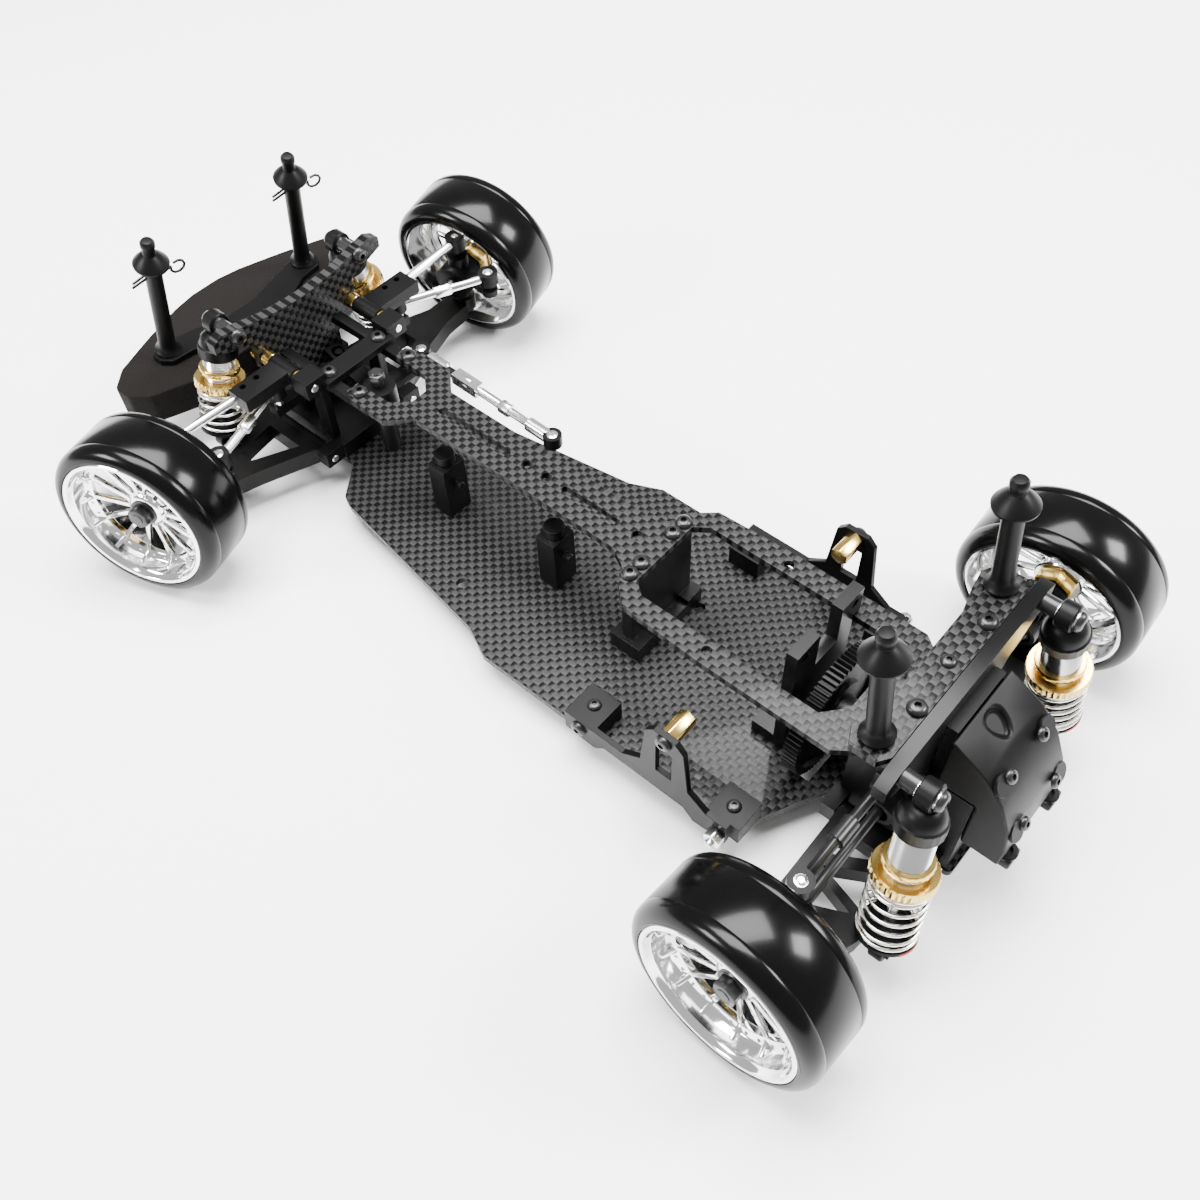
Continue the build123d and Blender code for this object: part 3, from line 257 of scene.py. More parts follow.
def eased_copy(node, name, body, material, ease, keep=None):
    """A CAD node's shape with its edges eased by so many millimetres; keep picks its solids."""
    bm = bmesh.new()
    bm.from_mesh(frame["nodes"][node].data)
    bmesh.ops.remove_doubles(bm, verts=bm.verts, dist=0.001 * MM)
    if keep:
        seen = set()
        for start in list(bm.verts):
            if start in seen:
                continue
            solid, queue = {start}, [start]
            while queue:
                for edge in queue.pop().link_edges:
                    for vert in edge.verts:
                        if vert not in solid:
                            solid.add(vert)
                            queue.append(vert)
            seen |= solid
            middle = sum((v.co for v in solid), Vector()) / len(solid)
            if not keep(middle):
                bmesh.ops.delete(bm, geom=list(solid), context="VERTS")
    bmesh.ops.dissolve_limit(bm, angle_limit=math.radians(0.5), verts=bm.verts, edges=bm.edges)
    piece = put(name, bm, body, material, (node,))
    bevel = piece.modifiers.new("eased_edges", "BEVEL")
    bevel.width = ease * MM
    bevel.segments = 2
    bevel.limit_method = "ANGLE"
    bevel.angle_limit = math.radians(35)
    bevel.harden_normals = True
    return piece


flat_weave = carbon_fibre("carbon_flat", 0, 1, 2.1)
upright_weave = carbon_fibre("carbon_upright", 1, 2, 2.1)
joints = {joint["name"]: joint for joint in frame["joints"]}
front_x = joints["left_front_arm"]["pos_m"][0]
rear_x = joints["left_rear_arm"]["pos_m"][0]
eased_copy("chassis_plate", "plate", "chassis", flat_weave, 0.35)
eased_copy("upper_deck", "deck", "chassis", flat_weave, 0.4)
eased_copy("shock_towers", "front_tower", "chassis", upright_weave, 0.4,
           keep=lambda middle: 0 < middle.x < front_x + 0.015)

# ---------------------------------------------------------------- moulded and machined blocks
# Bulkheads, gearbox, steering parts and arms are moulded in satin black plastic; the motor
# mount is black anodised aluminium.


def satin(name, shade, roughness, grain=0.6, depth=0.02, metallic=0.0, tint=(1, 1, 1), coat=0.0, specular=0.5):
    """An even finish with a fine grain in its gloss and a little dust in its colour."""
    dark = tuple(shade * channel for channel in tint) + (1,)
    light = tuple(min(1.0, shade * 1.35 + 0.0006) * channel for channel in tint) + (1,)
    material, shader, coords = new_finish(name, dark, metallic=metallic, coat=coat, specular=specular)
    fine = coords.node("ShaderNodeTexNoise", {}, {"Vector": coords, "Scale": 1 / (grain * MM), "Detail": 3.0})
    broad = coords.node("ShaderNodeTexNoise", {}, {"Vector": coords, "Scale": 60.0, "Detail": 2.0})
    (broad * 0.6 + fine * 0.4).mix(dark, light).feeds(shader, "Base Color")
    (roughness * 0.8 + broad * (roughness * 0.25) + fine * (roughness * 0.15)).feeds(shader, "Roughness")
    bump = fine.node("ShaderNodeBump", {}, {"Height": fine, "Strength": 0.4, "Distance": depth * MM})
    bump.feeds(shader, "Normal")
    return material


black_plastic = satin("black_plastic", 0.0016, 0.4, specular=0.1)
black_metal = satin("black_anodised", 0.002, 0.3, grain=0.3, specular=0.14)
PLASTIC = (
    ("front_bulkhead", "chassis", 0.45), ("steering_crank", "steering_crank", 0.4),
    ("steering_rack", "steering_rack", 0.3), ("battery_holders", "chassis", 0.4),
    ("front_lower_arm_l", "left_front_arm", 0.6), ("front_lower_arm_r", "right_front_arm", 0.6),
    ("rear_lower_arm_l", "left_rear_arm", 0.6), ("rear_lower_arm_r", "right_rear_arm", 0.6),
    ("front_knuckle_l", "left_front_knuckle", 0.5), ("front_knuckle_r", "right_front_knuckle", 0.5),
    ("rear_hub_carrier_l", "left_hub_carrier", 0.5), ("rear_hub_carrier_r", "right_hub_carrier", 0.5),
)
for node, body, ease in PLASTIC:
    eased_copy(node, node + "_body", body, black_plastic, ease)
eased_copy("shock_towers", "rear_tower", "chassis", black_metal, 1.0,
           keep=lambda middle: middle.x < 0)
eased_copy("shock_towers", "bumper_brace", "chassis", black_plastic, 0.5,
           keep=lambda middle: middle.x > front_x + 0.015)
eased_copy("gearbox", "gearbox_housing", "chassis", black_plastic, 0.8,
           keep=lambda middle: middle.x > rear_x - 0.02)
eased_copy("motor_mount", "motor_mount_body", "chassis", black_metal, 0.4)

# ---------------------------------------------------------------- wheels
# Each wheel is a hard glossy black drift tyre on a chromed rim with a deep lip, a ring of
# small bolts and forked spokes; a gold hex behind and a black nut in front hold it.
SPOKES = 14
tyre_black = satin("hard_tyre", 0.0008, 0.2, grain=1.5, depth=0.01, coat=0.03, specular=0.12)
chrome = satin("chrome", 0.86, 0.09, grain=4.0, depth=0.004, metallic=1.0)
gold = satin("gold_anodised", 0.62, 0.22, grain=0.3, metallic=1.0, tint=(0.95, 0.66, 0.2))
steel = satin("steel", 0.5, 0.28, grain=0.3, metallic=1.0)
silver = satin("silver_anodised", 0.75, 0.2, grain=0.4, metallic=1.0)
dark_steel = satin("black_screws", 0.006, 0.3, grain=0.3, specular=0.35)


def turned(profile, steps=48, closed=False):
    """A bmesh turned about Z from (radius, height) points in millimetres."""
    bm = bmesh.new()
    verts = [bm.verts.new((radius * MM, 0, height * MM)) for radius, height in profile]
    edges = [bm.edges.new(pair) for pair in zip(verts, verts[1:])]
    if closed:
        edges.append(bm.edges.new((verts[-1], verts[0])))
    bmesh.ops.spin(bm, geom=verts + edges, cent=(0, 0, 0), axis=(0, 0, 1), angle=2 * math.pi,
                   steps=steps, use_merge=True)
    bmesh.ops.remove_doubles(bm, verts=bm.verts, dist=0.001 * MM)
    bmesh.ops.recalc_face_normals(bm, faces=bm.faces)
    return bm


def include(bm, other, place=Matrix()):
    """Adds another bmesh to this one, moved by a matrix, and frees it."""
    mesh = bpy.data.meshes.new("part")
    other.to_mesh(mesh)
    other.free()
    mesh.transform(place)
    bm.from_mesh(mesh)
    bpy.data.meshes.remove(mesh)
    return bm


def looking(origin, direction, sideways=(0, 0, 1)):
    """The place of something turned about Z, moved to a point and turned to a direction."""
    z = Vector(direction).normalized()
    x = Vector(sideways).cross(z)
    if x.length < 1e-6:
        x = Vector((1, 0, 0)).cross(z)
        if x.length < 1e-6:
            x = Vector((0, 1, 0))
    x.normalize()
    turn = Matrix((x, z.cross(x), z)).transposed().to_4x4()
    return Matrix.Translation(Vector(origin)) @ turn


def hexagon(flats, low, high, ease=0.3):
    """A hexagonal prism along Z with eased ends, as a bmesh."""
    bm = bmesh.new()
    bmesh.ops.create_cone(bm, cap_ends=True, segments=6, radius1=flats * MM / 3 ** 0.5,
                          radius2=flats * MM / 3 ** 0.5, depth=(high - low) * MM)
    bmesh.ops.translate(bm, verts=bm.verts, vec=(0, 0, (high + low) / 2 * MM))
    bmesh.ops.bevel(bm, geom=bm.edges, offset=ease * MM, segments=2, profile=0.5, affect="EDGES", material=-1)
    return bm


def strut(start, end, width, height):
    """A bar with eased edges between two points given in millimetres, as a bmesh."""
    start, end = Vector(start) * MM, Vector(end) * MM
    bm = bmesh.new()
    bmesh.ops.create_cube(bm, size=1.0)
    bmesh.ops.scale(bm, vec=(width * MM, height * MM, (end - start).length), verts=bm.verts)
    bmesh.ops.bevel(bm, geom=bm.edges, offset=min(width, height) * 0.2 * MM, segments=2, profile=0.5,
                    affect="EDGES", material=-1)
    bmesh.ops.transform(bm, matrix=looking((start + end) / 2, end - start), verts=bm.verts)
    return bm


def shoulder(radius, half, ease, steps=7):
    """Points round a tyre's outer shoulders, from its inner edge to its outer edge."""
    points = []
    for side in (-1, 1):
        for step in range(steps + 1):
            angle = math.pi / 2 * step / steps
            across, out = (math.cos(angle), math.sin(angle)) if side < 0 else (math.sin(angle), math.cos(angle))
            points.append((radius - ease + ease * out, side * (half - ease + ease * across)))
    return points


for end in ("front", "rear"):
    for word, side, letter in (("left", 1, "l"), ("right", -1, "r")):
        spin = joints[f"{word}_{end}_spin"]
        outwards = Vector(spin["axis"]) * side
        axle = looking(spin["pos_m"], outwards)
        body = f"{word}_{end}_wheel"
        name = f"{end}_{{}}_{letter}"

        # tyre: rounded shoulders, flat tread, a fine moulding seam near each shoulder
        outline = shoulder(30.75, 13.0, 4.6)
        middle = len(outline) // 2
        seam = [(30.75, -7.6), (30.66, -7.45), (30.75, -7.3), (30.75, 7.3), (30.66, 7.45), (30.75, 7.6)]
        outline[middle:middle] = seam
        beads = [(26.9, 13.0), (26.05, 12.9)]
        tyre = turned([(26.05, -12.9), (26.9, -13.0)] + outline + beads, 96, closed=True)
        bmesh.ops.transform(tyre, matrix=axle, verts=tyre.verts)
        put(name.format("tyre_ring"), tyre, body, tyre_black, (name.format("tyre"),), 50)

        # rim: lip, dished barrel, bolt ring
        rim = turned([(26.0, -12.4), (26.0, 12.6), (25.6, 13.0), (24.5, 12.95), (24.1, 12.5), (23.9, 11.6),
                      (23.2, 10.9), (22.9, 6.2), (22.4, 5.5), (20.6, 5.0), (20.2, 4.6), (20.2, 3.0),
                      (20.8, 2.4), (23.2, 2.2), (24.2, 0.5), (24.4, -11.9), (24.9, -12.5)], 96, closed=True)
        for spoke in range(SPOKES):
            turn = Matrix.Rotation(2 * math.pi * spoke / SPOKES, 4, "Z")
            include(rim, strut((4.5, 0, 3.0), (21.6, 0, 3.7), 1.7, 2.0), turn)
            include(rim, strut((20.8, 0, 3.9), (23.3, 0, 8.6), 1.3, 1.5), turn)
            for lean in (-1, 1):
                include(rim, turned([(0, 0), (0.6, 0), (0.6, 0.4), (0.4, 0.6), (0, 0.6)], 8),
                        turn @ Matrix.Translation(Vector((21.5, lean * 2.6, 5.1)) * MM))
        for bolt in range(5):
            include(rim, turned([(0, 0), (0.7, 0), (0.7, 0.5), (0.5, 0.7), (0, 0.7)], 10),
                    Matrix.Rotation(2 * math.pi * bolt / 5, 4, "Z") @ Matrix.Translation(Vector((6.3, 0, 4.3)) * MM))
        include(rim, turned([(3.3, -0.9), (7.6, -0.9), (8.0, -0.4), (7.8, 2.2), (6.4, 4.4), (5.2, 5.0),
                             (3.3, 5.0)], 48, closed=True))
        bmesh.ops.transform(rim, matrix=axle, verts=rim.verts)
        put(name.format("rim_chromed"), rim, body, chrome, (name.format("rim"),), 40)

        # hub: gold hex, steel axle, black flanged nut
        hub = hexagon(12.0, -6.0, -1.0, 0.4)
        bmesh.ops.transform(hub, matrix=axle, verts=hub.verts)
        put(name.format("hex_gold"), hub, body, gold, (name.format("hub"),))
        low = -25.0 if end == "rear" else -21.8
        shaft = turned([(0, low), (2.4, low), (2.5, low + 0.2), (2.5, 8.0), (2.0, 9.6), (0, 9.8)], 32)
        if end == "rear":
            include(shaft, turned([(3.5, -24.9), (4.7, -24.9), (5.0, -24.5), (5.0, -20.2), (4.6, -19.8),
                                   (2.4, -19.8), (2.4, -20.8), (3.5, -20.8)], 40, closed=True))
        bmesh.ops.transform(shaft, matrix=axle, verts=shaft.verts)
        put(name.format("axle"), shaft, body, dark_steel)
        nut = hexagon(7.0, 5.4, 9.3, 0.35)
        include(nut, turned([(2.6, 5.1), (4.7, 5.1), (4.9, 5.4), (4.6, 5.8), (2.6, 5.9)], 40, closed=True))
        bmesh.ops.transform(nut, matrix=axle, verts=nut.verts)
        put(name.format("wheel_nut"), nut, body, dark_steel)

# ---------------------------------------------------------------- gearbox cover
# The gearbox's moulded back: rounded panels with a teardrop dent, a flange with two ears and
# socket screws in its corners.
COVER = ((-22.1, 30.0), (-34.0, 30.0), (-34.4, 38.0), (-32.8, 48.0), (-28.5, 57.5), (-22.0, 64.5), (-10.7, 70.9),
         (-10.7, 50.2), (-22.1, 50.2))
COVER_HALF = 15.0  # half the cover's width
EAR_Y = 11.4  # sideways place of the ears and the screw bosses
cover = bmesh.new()
ring = [cover.verts.new(Vector((rear_x / MM + x, -COVER_HALF, z)) * MM) for x, z in COVER]
flat = cover.faces.new(ring)
pushed = bmesh.ops.extrude_face_region(cover, geom=[flat])
bmesh.ops.translate(cover, vec=(0, 2 * COVER_HALF * MM, 0),
                    verts=[item for item in pushed["geom"] if isinstance(item, bmesh.types.BMVert)])
bmesh.ops.recalc_face_normals(cover, faces=cover.faces)
panel = max(cover.faces, key=lambda face: face.calc_center_median().z if face.normal.x < -0.2 else -1)
centre, out = panel.calc_center_median(), panel.normal.copy()
sideways = Vector((0, 1, 0))
upwards = out.cross(sideways)
bmesh.ops.delete(cover, geom=[panel], context="FACES_ONLY")
border = [edge for edge in cover.edges if edge.is_boundary]
dent = []
for step in range(28):
    angle = 2 * math.pi * step / 28
    narrow = 0.55 + 0.45 * math.cos(angle)
    dent.append(cover.verts.new(centre + (sideways * 3.6 * math.sin(angle) * (1 - 0.5 * narrow) * 1.35
                                          + upwards * 4.6 * math.cos(angle)) * MM))
loop = [cover.edges.new(pair) for pair in zip(dent, dent[1:] + dent[:1])]
bmesh.ops.triangle_fill(cover, use_beauty=True, edges=border + loop)
dropped = bmesh.ops.extrude_edge_only(cover, edges=loop)
bottom = [item for item in dropped["geom"] if isinstance(item, bmesh.types.BMVert)]
bmesh.ops.translate(cover, vec=-out * 1.6 * MM, verts=bottom)
for vert in bottom:
    vert.co += (centre - out * 1.6 * MM - vert.co) * 0.2
inner = {edge for vert in bottom for edge in vert.link_edges if edge.is_boundary}
bmesh.ops.holes_fill(cover, edges=list(inner))
doubled = [face for face in cover.faces if len(face.verts) > 20 and face.calc_center_median().dot(out) >
           (centre - out * 0.5 * MM).dot(out)]
bmesh.ops.delete(cover, geom=doubled, context="FACES_ONLY")
bmesh.ops.recalc_face_normals(cover, faces=cover.faces)
cover_piece = put("gearbox_cover", cover, "chassis", black_plastic, ("gearbox",), 30)
softened = cover_piece.modifiers.new("eased_edges", "BEVEL")
softened.width = 1.6 * MM
softened.segments = 4
softened.limit_method = "ANGLE"
softened.angle_limit = math.radians(60)
softened.harden_normals = True
flange = bmesh.new()
for side in (1, -1):
    ear = (rear_x / MM - 30.0, side * EAR_Y, 32.0)
    include(flange, strut(ear, (rear_x / MM - 36.8, side * EAR_Y, 32.0), 6.4, 3.9))
    include(flange, turned([(1.6, 0), (3.0, 0), (3.2, 0.3), (3.2, 1.2), (2.9, 1.5), (1.6, 1.5)], 28, True),
            Matrix.Translation(Vector((rear_x / MM - 33.9, side * 11.3, 33.2)) * MM))
    for x, z, height in ((-33.2, 45.4, 0.5), (-25.2, 61.0, 0.75)):
        include(flange, turned([(0, 0), (3.3, 0), (3.4, 0.3), (3.4, 0.8), (3.1, 1.1), (0, 1.1)], 28),
                looking(Vector((rear_x / MM + x, side * EAR_Y, z)) * MM, (-1, 0, height)))
put("gearbox_flange", flange, "chassis", black_plastic)

# ---------------------------------------------------------------- foam bumper
# A block of soft dark foam under the brace, cut with a hot wire, so its edges stay crisp.
foam, foam_shader, foam_coords = new_finish("foam", (0.005, 0.004, 0.003, 1), specular=0.15)
cells = foam_coords.node("ShaderNodeTexVoronoi", {}, {"Vector": foam_coords, "Scale": 1500.0})
patches = foam_coords.node("ShaderNodeTexNoise", {}, {"Vector": foam_coords, "Scale": 40.0, "Detail": 3.0})
foam_tone = (cells * 0.6 + patches * 0.6).mix((0.001, 0.0008, 0.0007, 1), (0.0045, 0.0033, 0.0028, 1))
foam_tone.feeds(foam_shader, "Base Color")
(0.85 + patches * 0.15).feeds(foam_shader, "Roughness")
pores = cells.node("ShaderNodeBump", {}, {"Height": cells, "Strength": 0.7, "Distance": 0.25 * MM})
pores.feeds(foam_shader, "Normal")
bumper = eased_copy("bumper_foam", "foam_block", "chassis", foam, 0.8)

# ---------------------------------------------------------------- body posts and clips
# Four moulded posts carry the body shell: a flared foot, a mushroom disc that the shell rests
# on and a rounded tip. The front pair still has its spring wire clips.
POST_FEET = {"front": (front_x / MM + 48.3, 33.3, 35.5), "rear": (rear_x / MM + 3.4, 30.0, 79.5)}
POST_TIPS = {"front": (front_x / MM + 35.5, 31.0, 90.0), "rear": (rear_x / MM + 8.2, 29.6, 119.5)}
DISC_AT = {"front": 43.6, "rear": 29.6}


def rod_between(start, end, radius, steps=20, ease=0.2):
    """A round bar with eased ends between two points given in millimetres, as a bmesh."""
    start, end = Vector(start), Vector(end)
    length = (end - start).length
    bm = turned([(0, 0), (radius - ease, 0), (radius, ease), (radius, length - ease), (radius - ease, length),
                 (0, length)], steps)
    bmesh.ops.transform(bm, matrix=looking(start * MM, end - start), verts=bm.verts)
    return bm


def wire(points, radius):
    """A bent wire through points given in millimetres, as a bmesh."""
    bm = bmesh.new()
    for start, end in zip(points, points[1:]):
        reach = (Vector(end) - Vector(start)).normalized() * radius * 0.5
        include(bm, rod_between(Vector(start) - reach, Vector(end) + reach, radius, 10, radius * 0.4))
    return bm


for end in ("front", "rear"):
    posts = bmesh.new()
    for side in (1, -1):
        foot = Vector((POST_FEET[end][0], side * POST_FEET[end][1], POST_FEET[end][2]))
        tip = Vector((POST_TIPS[end][0], side * POST_TIPS[end][1], POST_TIPS[end][2]))
        length = (tip - foot).length
        disc = DISC_AT[end]
        include(posts, turned([(0, 0.3), (4.6, 0.3), (4.8, 1.4), (3.6, 2.6), (3.1, 4.4), (3.0, disc + 0.4),
                               (5.6, disc + 0.6), (6.2, disc + 1.1), (6.3, disc + 1.8), (5.6, disc + 2.8),
                               (3.4, disc + 5.2), (2.3, disc + 6.0), (2.2, length - 3.6), (2.55, length - 3.0),
                               (2.55, length - 1.2), (1.9, length - 0.3), (0, length)], 32),
                looking(foot * MM, tip - foot))
    put(f"{end}_posts", posts, "chassis", black_plastic, ("body_posts",) if end == "front" else ())
clips = bmesh.new()
for side in (1, -1):
    foot = Vector((POST_FEET["front"][0], side * POST_FEET["front"][1], POST_FEET["front"][2]))
    tip = Vector((POST_TIPS["front"][0], side * POST_TIPS["front"][1], POST_TIPS["front"][2]))
    up = (tip - foot).normalized()
    middle = foot + up * 39.0
    along = Vector((-0.25, -1.0, 0.0)).normalized()
    across = up.cross(along).normalized()
    loop = [middle + along * (9.0 + 2.6 * math.cos(step * 0.7)) + up * 2.6 * math.sin(step * 0.7)
            for step in range(9)]
    legs = [middle - along * 8.0 - up * 1.6, middle - along * 2.0 + up * 0.4, middle + along * 3.4]
    include(clips, wire(legs + [loop[4]] + loop[5:] + loop[:4], 0.5))
    include(clips, wire([loop[4], middle + along * 4.0 + across * 3.4 - up * 0.8,
                         middle + across * 3.6 - up * 1.4, middle - along * 7.0 + across * 2.2 - up * 2.2], 0.5))
put("front_clips", clips, "chassis", dark_steel)

# ---------------------------------------------------------------- shocks
# Oil shocks: black capped, threaded silver body with gold adjusting collars, a silver wire
# spring and a black cup that the piston rod pushes up.
COLLAR_AT = {"front": 21.5, "rear": 29.0}
COIL_RADIUS = {"front": 8.6, "rear": 8.8}
SHOCK_LENGTH = {"front": 48.97, "rear": 66.29}
SPRING_SHORT = {"front": 7.2, "rear": 10.4}
COILS = {"front": 4.0, "rear": 4.6}
wire_silver = satin("spring_wire", 0.8, 0.16, grain=1.0, depth=0.003, metallic=1.0, tint=(1.0, 0.97, 0.92))
red_paint = satin("red_paint", 0.3, 0.35, tint=(1.0, 0.02, 0.03), specular=0.2)


def notched(bm, low, high, steps, depth):
    """Cuts every other facet of a turned ring inwards between two heights, as knurling."""
    for vert in bm.verts:
        turn = round(math.atan2(vert.co.y, vert.co.x) / (2 * math.pi / steps))
        radius = vert.co.xy.length
        if low * MM < vert.co.z < high * MM and turn % 2:
            vert.co.x *= (radius - depth * MM) / radius
            vert.co.y *= (radius - depth * MM) / radius
    return bm


def coil(radius, low, high, turns, wire_radius):
    """A helical spring about Z with closed ends, as a bmesh."""
    bm = bmesh.new()
    bmesh.ops.create_circle(bm, segments=8, radius=wire_radius * MM)
    bmesh.ops.rotate(bm, verts=bm.verts, matrix=Matrix.Rotation(math.pi / 2, 3, "X"))
    bmesh.ops.translate(bm, verts=bm.verts, vec=Vector((radius, 0, low + wire_radius)) * MM)
    height = high - low - 2 * wire_radius
    for share, rounds in ((0.06, 1.0), (0.88, turns), (0.06, 1.0)):
        steps = int(26 * rounds)
        ends = [edge for edge in bm.edges if edge.is_boundary and edge.select] or list(bm.edges)
        geom = ends + list({vert for edge in ends for vert in edge.verts})
        spun = bmesh.ops.spin(bm, geom=geom, cent=(0, 0, 0), axis=(0, 0, 1), angle=2 * math.pi * rounds,
                              dvec=(0, 0, height * share / steps * MM), steps=steps)
        for edge in bm.edges:
            edge.select = False
        for item in spun["geom_last"]:
            if isinstance(item, bmesh.types.BMEdge):
                item.select = True
    bmesh.ops.holes_fill(bm, edges=[edge for edge in bm.edges if edge.is_boundary])
    bmesh.ops.recalc_face_normals(bm, faces=bm.faces)
    return bm


for end in ("front", "rear"):
    for word, side, letter in (("left", 1, "l"), ("right", -1, "r")):
        swing = joints[f"{word}_{end}_shock_swing"]
        line = looking(swing["pos_m"], joints[f"{word}_{end}_shock_travel"]["axis"], (0, 1, 0))
        body = f"{word}_{end}_shock_body"
        rod_body = f"{word}_{end}_shock_rod"
        tag = f"{end}_{letter}"
        collar, reach, length = COLLAR_AT[end], COIL_RADIUS[end], SHOCK_LENGTH[end]
        body_end = collar + 11.0
        spring_end = length - SPRING_SHORT[end]
        eye = Matrix.Rotation(math.pi / 2, 4, "Y")

        cap = turned([(0, 3.0), (2.6, 3.1), (4.4, 4.0), (5.7, 5.6), (6.2, 7.4), (6.3, 8.2), (6.8, 8.6),
                      (6.9, 8.8), (6.9, 12.4), (6.6, 12.8), (0, 12.8)], 40)
        notched(cap, 8.7, 12.5, 40, 0.35)
        eyelet = [(2.1, -2.5), (3.8, -2.5), (4.2, -2.1), (4.2, 2.1), (3.8, 2.5), (2.1, 2.5)]
        include(cap, turned(eyelet, 32, True), eye)
        lower_cap = turned([(0, body_end - 3.0), (5.9, body_end - 3.0), (6.0, body_end - 2.7), (6.0, body_end - 0.6),
                            (5.2, body_end), (1.6, body_end), (1.6, body_end - 2.0)], 32)
        include(cap, lower_cap)
        bmesh.ops.transform(cap, matrix=line, verts=cap.verts)
        put(f"shock_cap_{tag}", cap, body, black_plastic, (f"{end}_shock_body_{letter}",))

        threads = [(5.6 - 0.28 * (step % 2), 12.8 + 0.45 * step) for step in range(int((body_end - 16.0) / 0.45))]
        barrel = turned([(0, 12.6)] + threads + [(5.5, body_end - 3.0), (0, body_end - 3.0)], 40)
        include(barrel, turned([(2.1, -2.9), (2.9, -2.9), (2.9, 2.9), (2.1, 2.9)], 24, True), eye)
        bmesh.ops.transform(barrel, matrix=line, verts=barrel.verts)
        put(f"shock_barrel_{tag}", barrel, body, silver)

        rings = turned([(5.7, collar), (reach + 0.1, collar), (reach + 0.5, collar + 0.4),
                        (reach + 0.5, collar + 3.2), (reach - 0.2, collar + 3.6), (reach - 1.6, collar + 3.6),
                        (reach - 1.8, collar + 5.2), (5.7, collar + 5.2)], 72, True)
        notched(rings, collar + 0.3, collar + 3.3, 72, 0.5)
        include(rings, notched(turned([(5.7, collar - 4.5), (6.8, collar - 4.5), (7.2, collar - 4.1),
                                       (7.2, collar - 2.5), (6.9, collar - 2.2), (5.7, collar - 2.2)], 48, True),
                               collar - 4.2, collar - 2.4, 48, 0.25))
        bmesh.ops.transform(rings, matrix=line, verts=rings.verts)
        put(f"shock_collars_{tag}", rings, body, gold)

        spring = coil(reach - 0.6, collar + 3.7, spring_end, COILS[end], 0.55)
        bmesh.ops.transform(spring, matrix=line, verts=spring.verts)
        spring = put(f"spring_{tag}", spring, body, wire_silver, (f"{end}_shock_spring_{letter}",), 60)
        travel = joints[f"{word}_{end}_shock_travel"]
        keep = 1 - travel["range_m"][1] / ((spring_end - collar - 3.7) * MM)
        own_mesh(spring)

        rod = turned([(0, body_end - 5.0), (1.5, body_end - 5.0), (1.5, length - 4.0), (0, length - 4.0)], 20)
        bmesh.ops.transform(rod, matrix=line, verts=rod.verts)
        put(f"shock_piston_{tag}", rod, rod_body, silver)
        foot = Matrix.Translation((0, 0, length * MM)) @ eye
        cup = turned([(1.5, spring_end - 1.6), (6.6, spring_end - 1.6), (6.9, spring_end - 1.2), (7.0, spring_end),
                      (reach - 0.1, spring_end), (reach, spring_end + 0.4), (reach, spring_end + 1.1),
                      (reach - 0.5, spring_end + 1.5), (3.4, spring_end + 1.7), (2.4, length - 4.0),
                      (1.5, length - 3.4)], 40, True)
        foot_eye = [(2.0, -2.2), (2.8, -2.2), (3.2, -1.8), (3.2, 1.8), (2.8, 2.2), (2.0, 2.2)]
        include(cup, turned(foot_eye, 28, True), foot)
        bmesh.ops.transform(cup, matrix=line, verts=cup.verts)
        put(f"shock_cup_{tag}", cup, rod_body, black_plastic, (f"{end}_shock_rod_{letter}",))
        if end == "rear":
            dab = turned([(reach - 0.02, spring_end + 0.3), (reach + 0.1, spring_end + 0.4),
                          (reach + 0.1, spring_end + 1.2), (reach - 0.02, spring_end + 1.2)], 40, True)
            bmesh.ops.bisect_plane(dab, geom=dab.verts[:] + dab.edges[:] + dab.faces[:], plane_co=(7.2 * MM, 0, 0),
                                   plane_no=(1, 0, 0), clear_inner=True)
            bmesh.ops.holes_fill(dab, edges=[edge for edge in dab.edges if edge.is_boundary])
            bmesh.ops.transform(dab, matrix=line, verts=dab.verts)
            put(f"spring_mark_{tag}", dab, rod_body, red_paint)

# ---------------------------------------------------------------- links, tie rods and shafts
# Plastic ball cups screwed onto thin turnbuckles: bright at the front, dark at the rear. Each
# cup shows the face of its steel ball.


def second_finish(piece, material, test):
    """Paints the faces whose middles pass a test, in millimetres, with another material."""
    piece.data.materials.append(material)
    for face in piece.data.polygons:
        if test(Vector(face.center) / MM):
            face.material_index = 1


def ball_faces(name, body, places):
    """The shining faces of balls at the tops of their cups; places are in millimetres."""
    bm = bmesh.new()
    for place, direction in places:
        include(bm, turned([(0, 0.35), (0.9, 0.35), (1.2, 0.1), (1.9, 0.0), (2.1, -0.3)], 20),
                looking(Vector(place) * MM, direction))
    put(name, bm, body, silver)


def between(first, second, low, high):
    """A test for points whose share of the way from one point to another is within limits."""
    first, second = Vector(first), Vector(second)
    way = second - first
    return lambda point: low < (point - first).dot(way) / way.length_squared < high


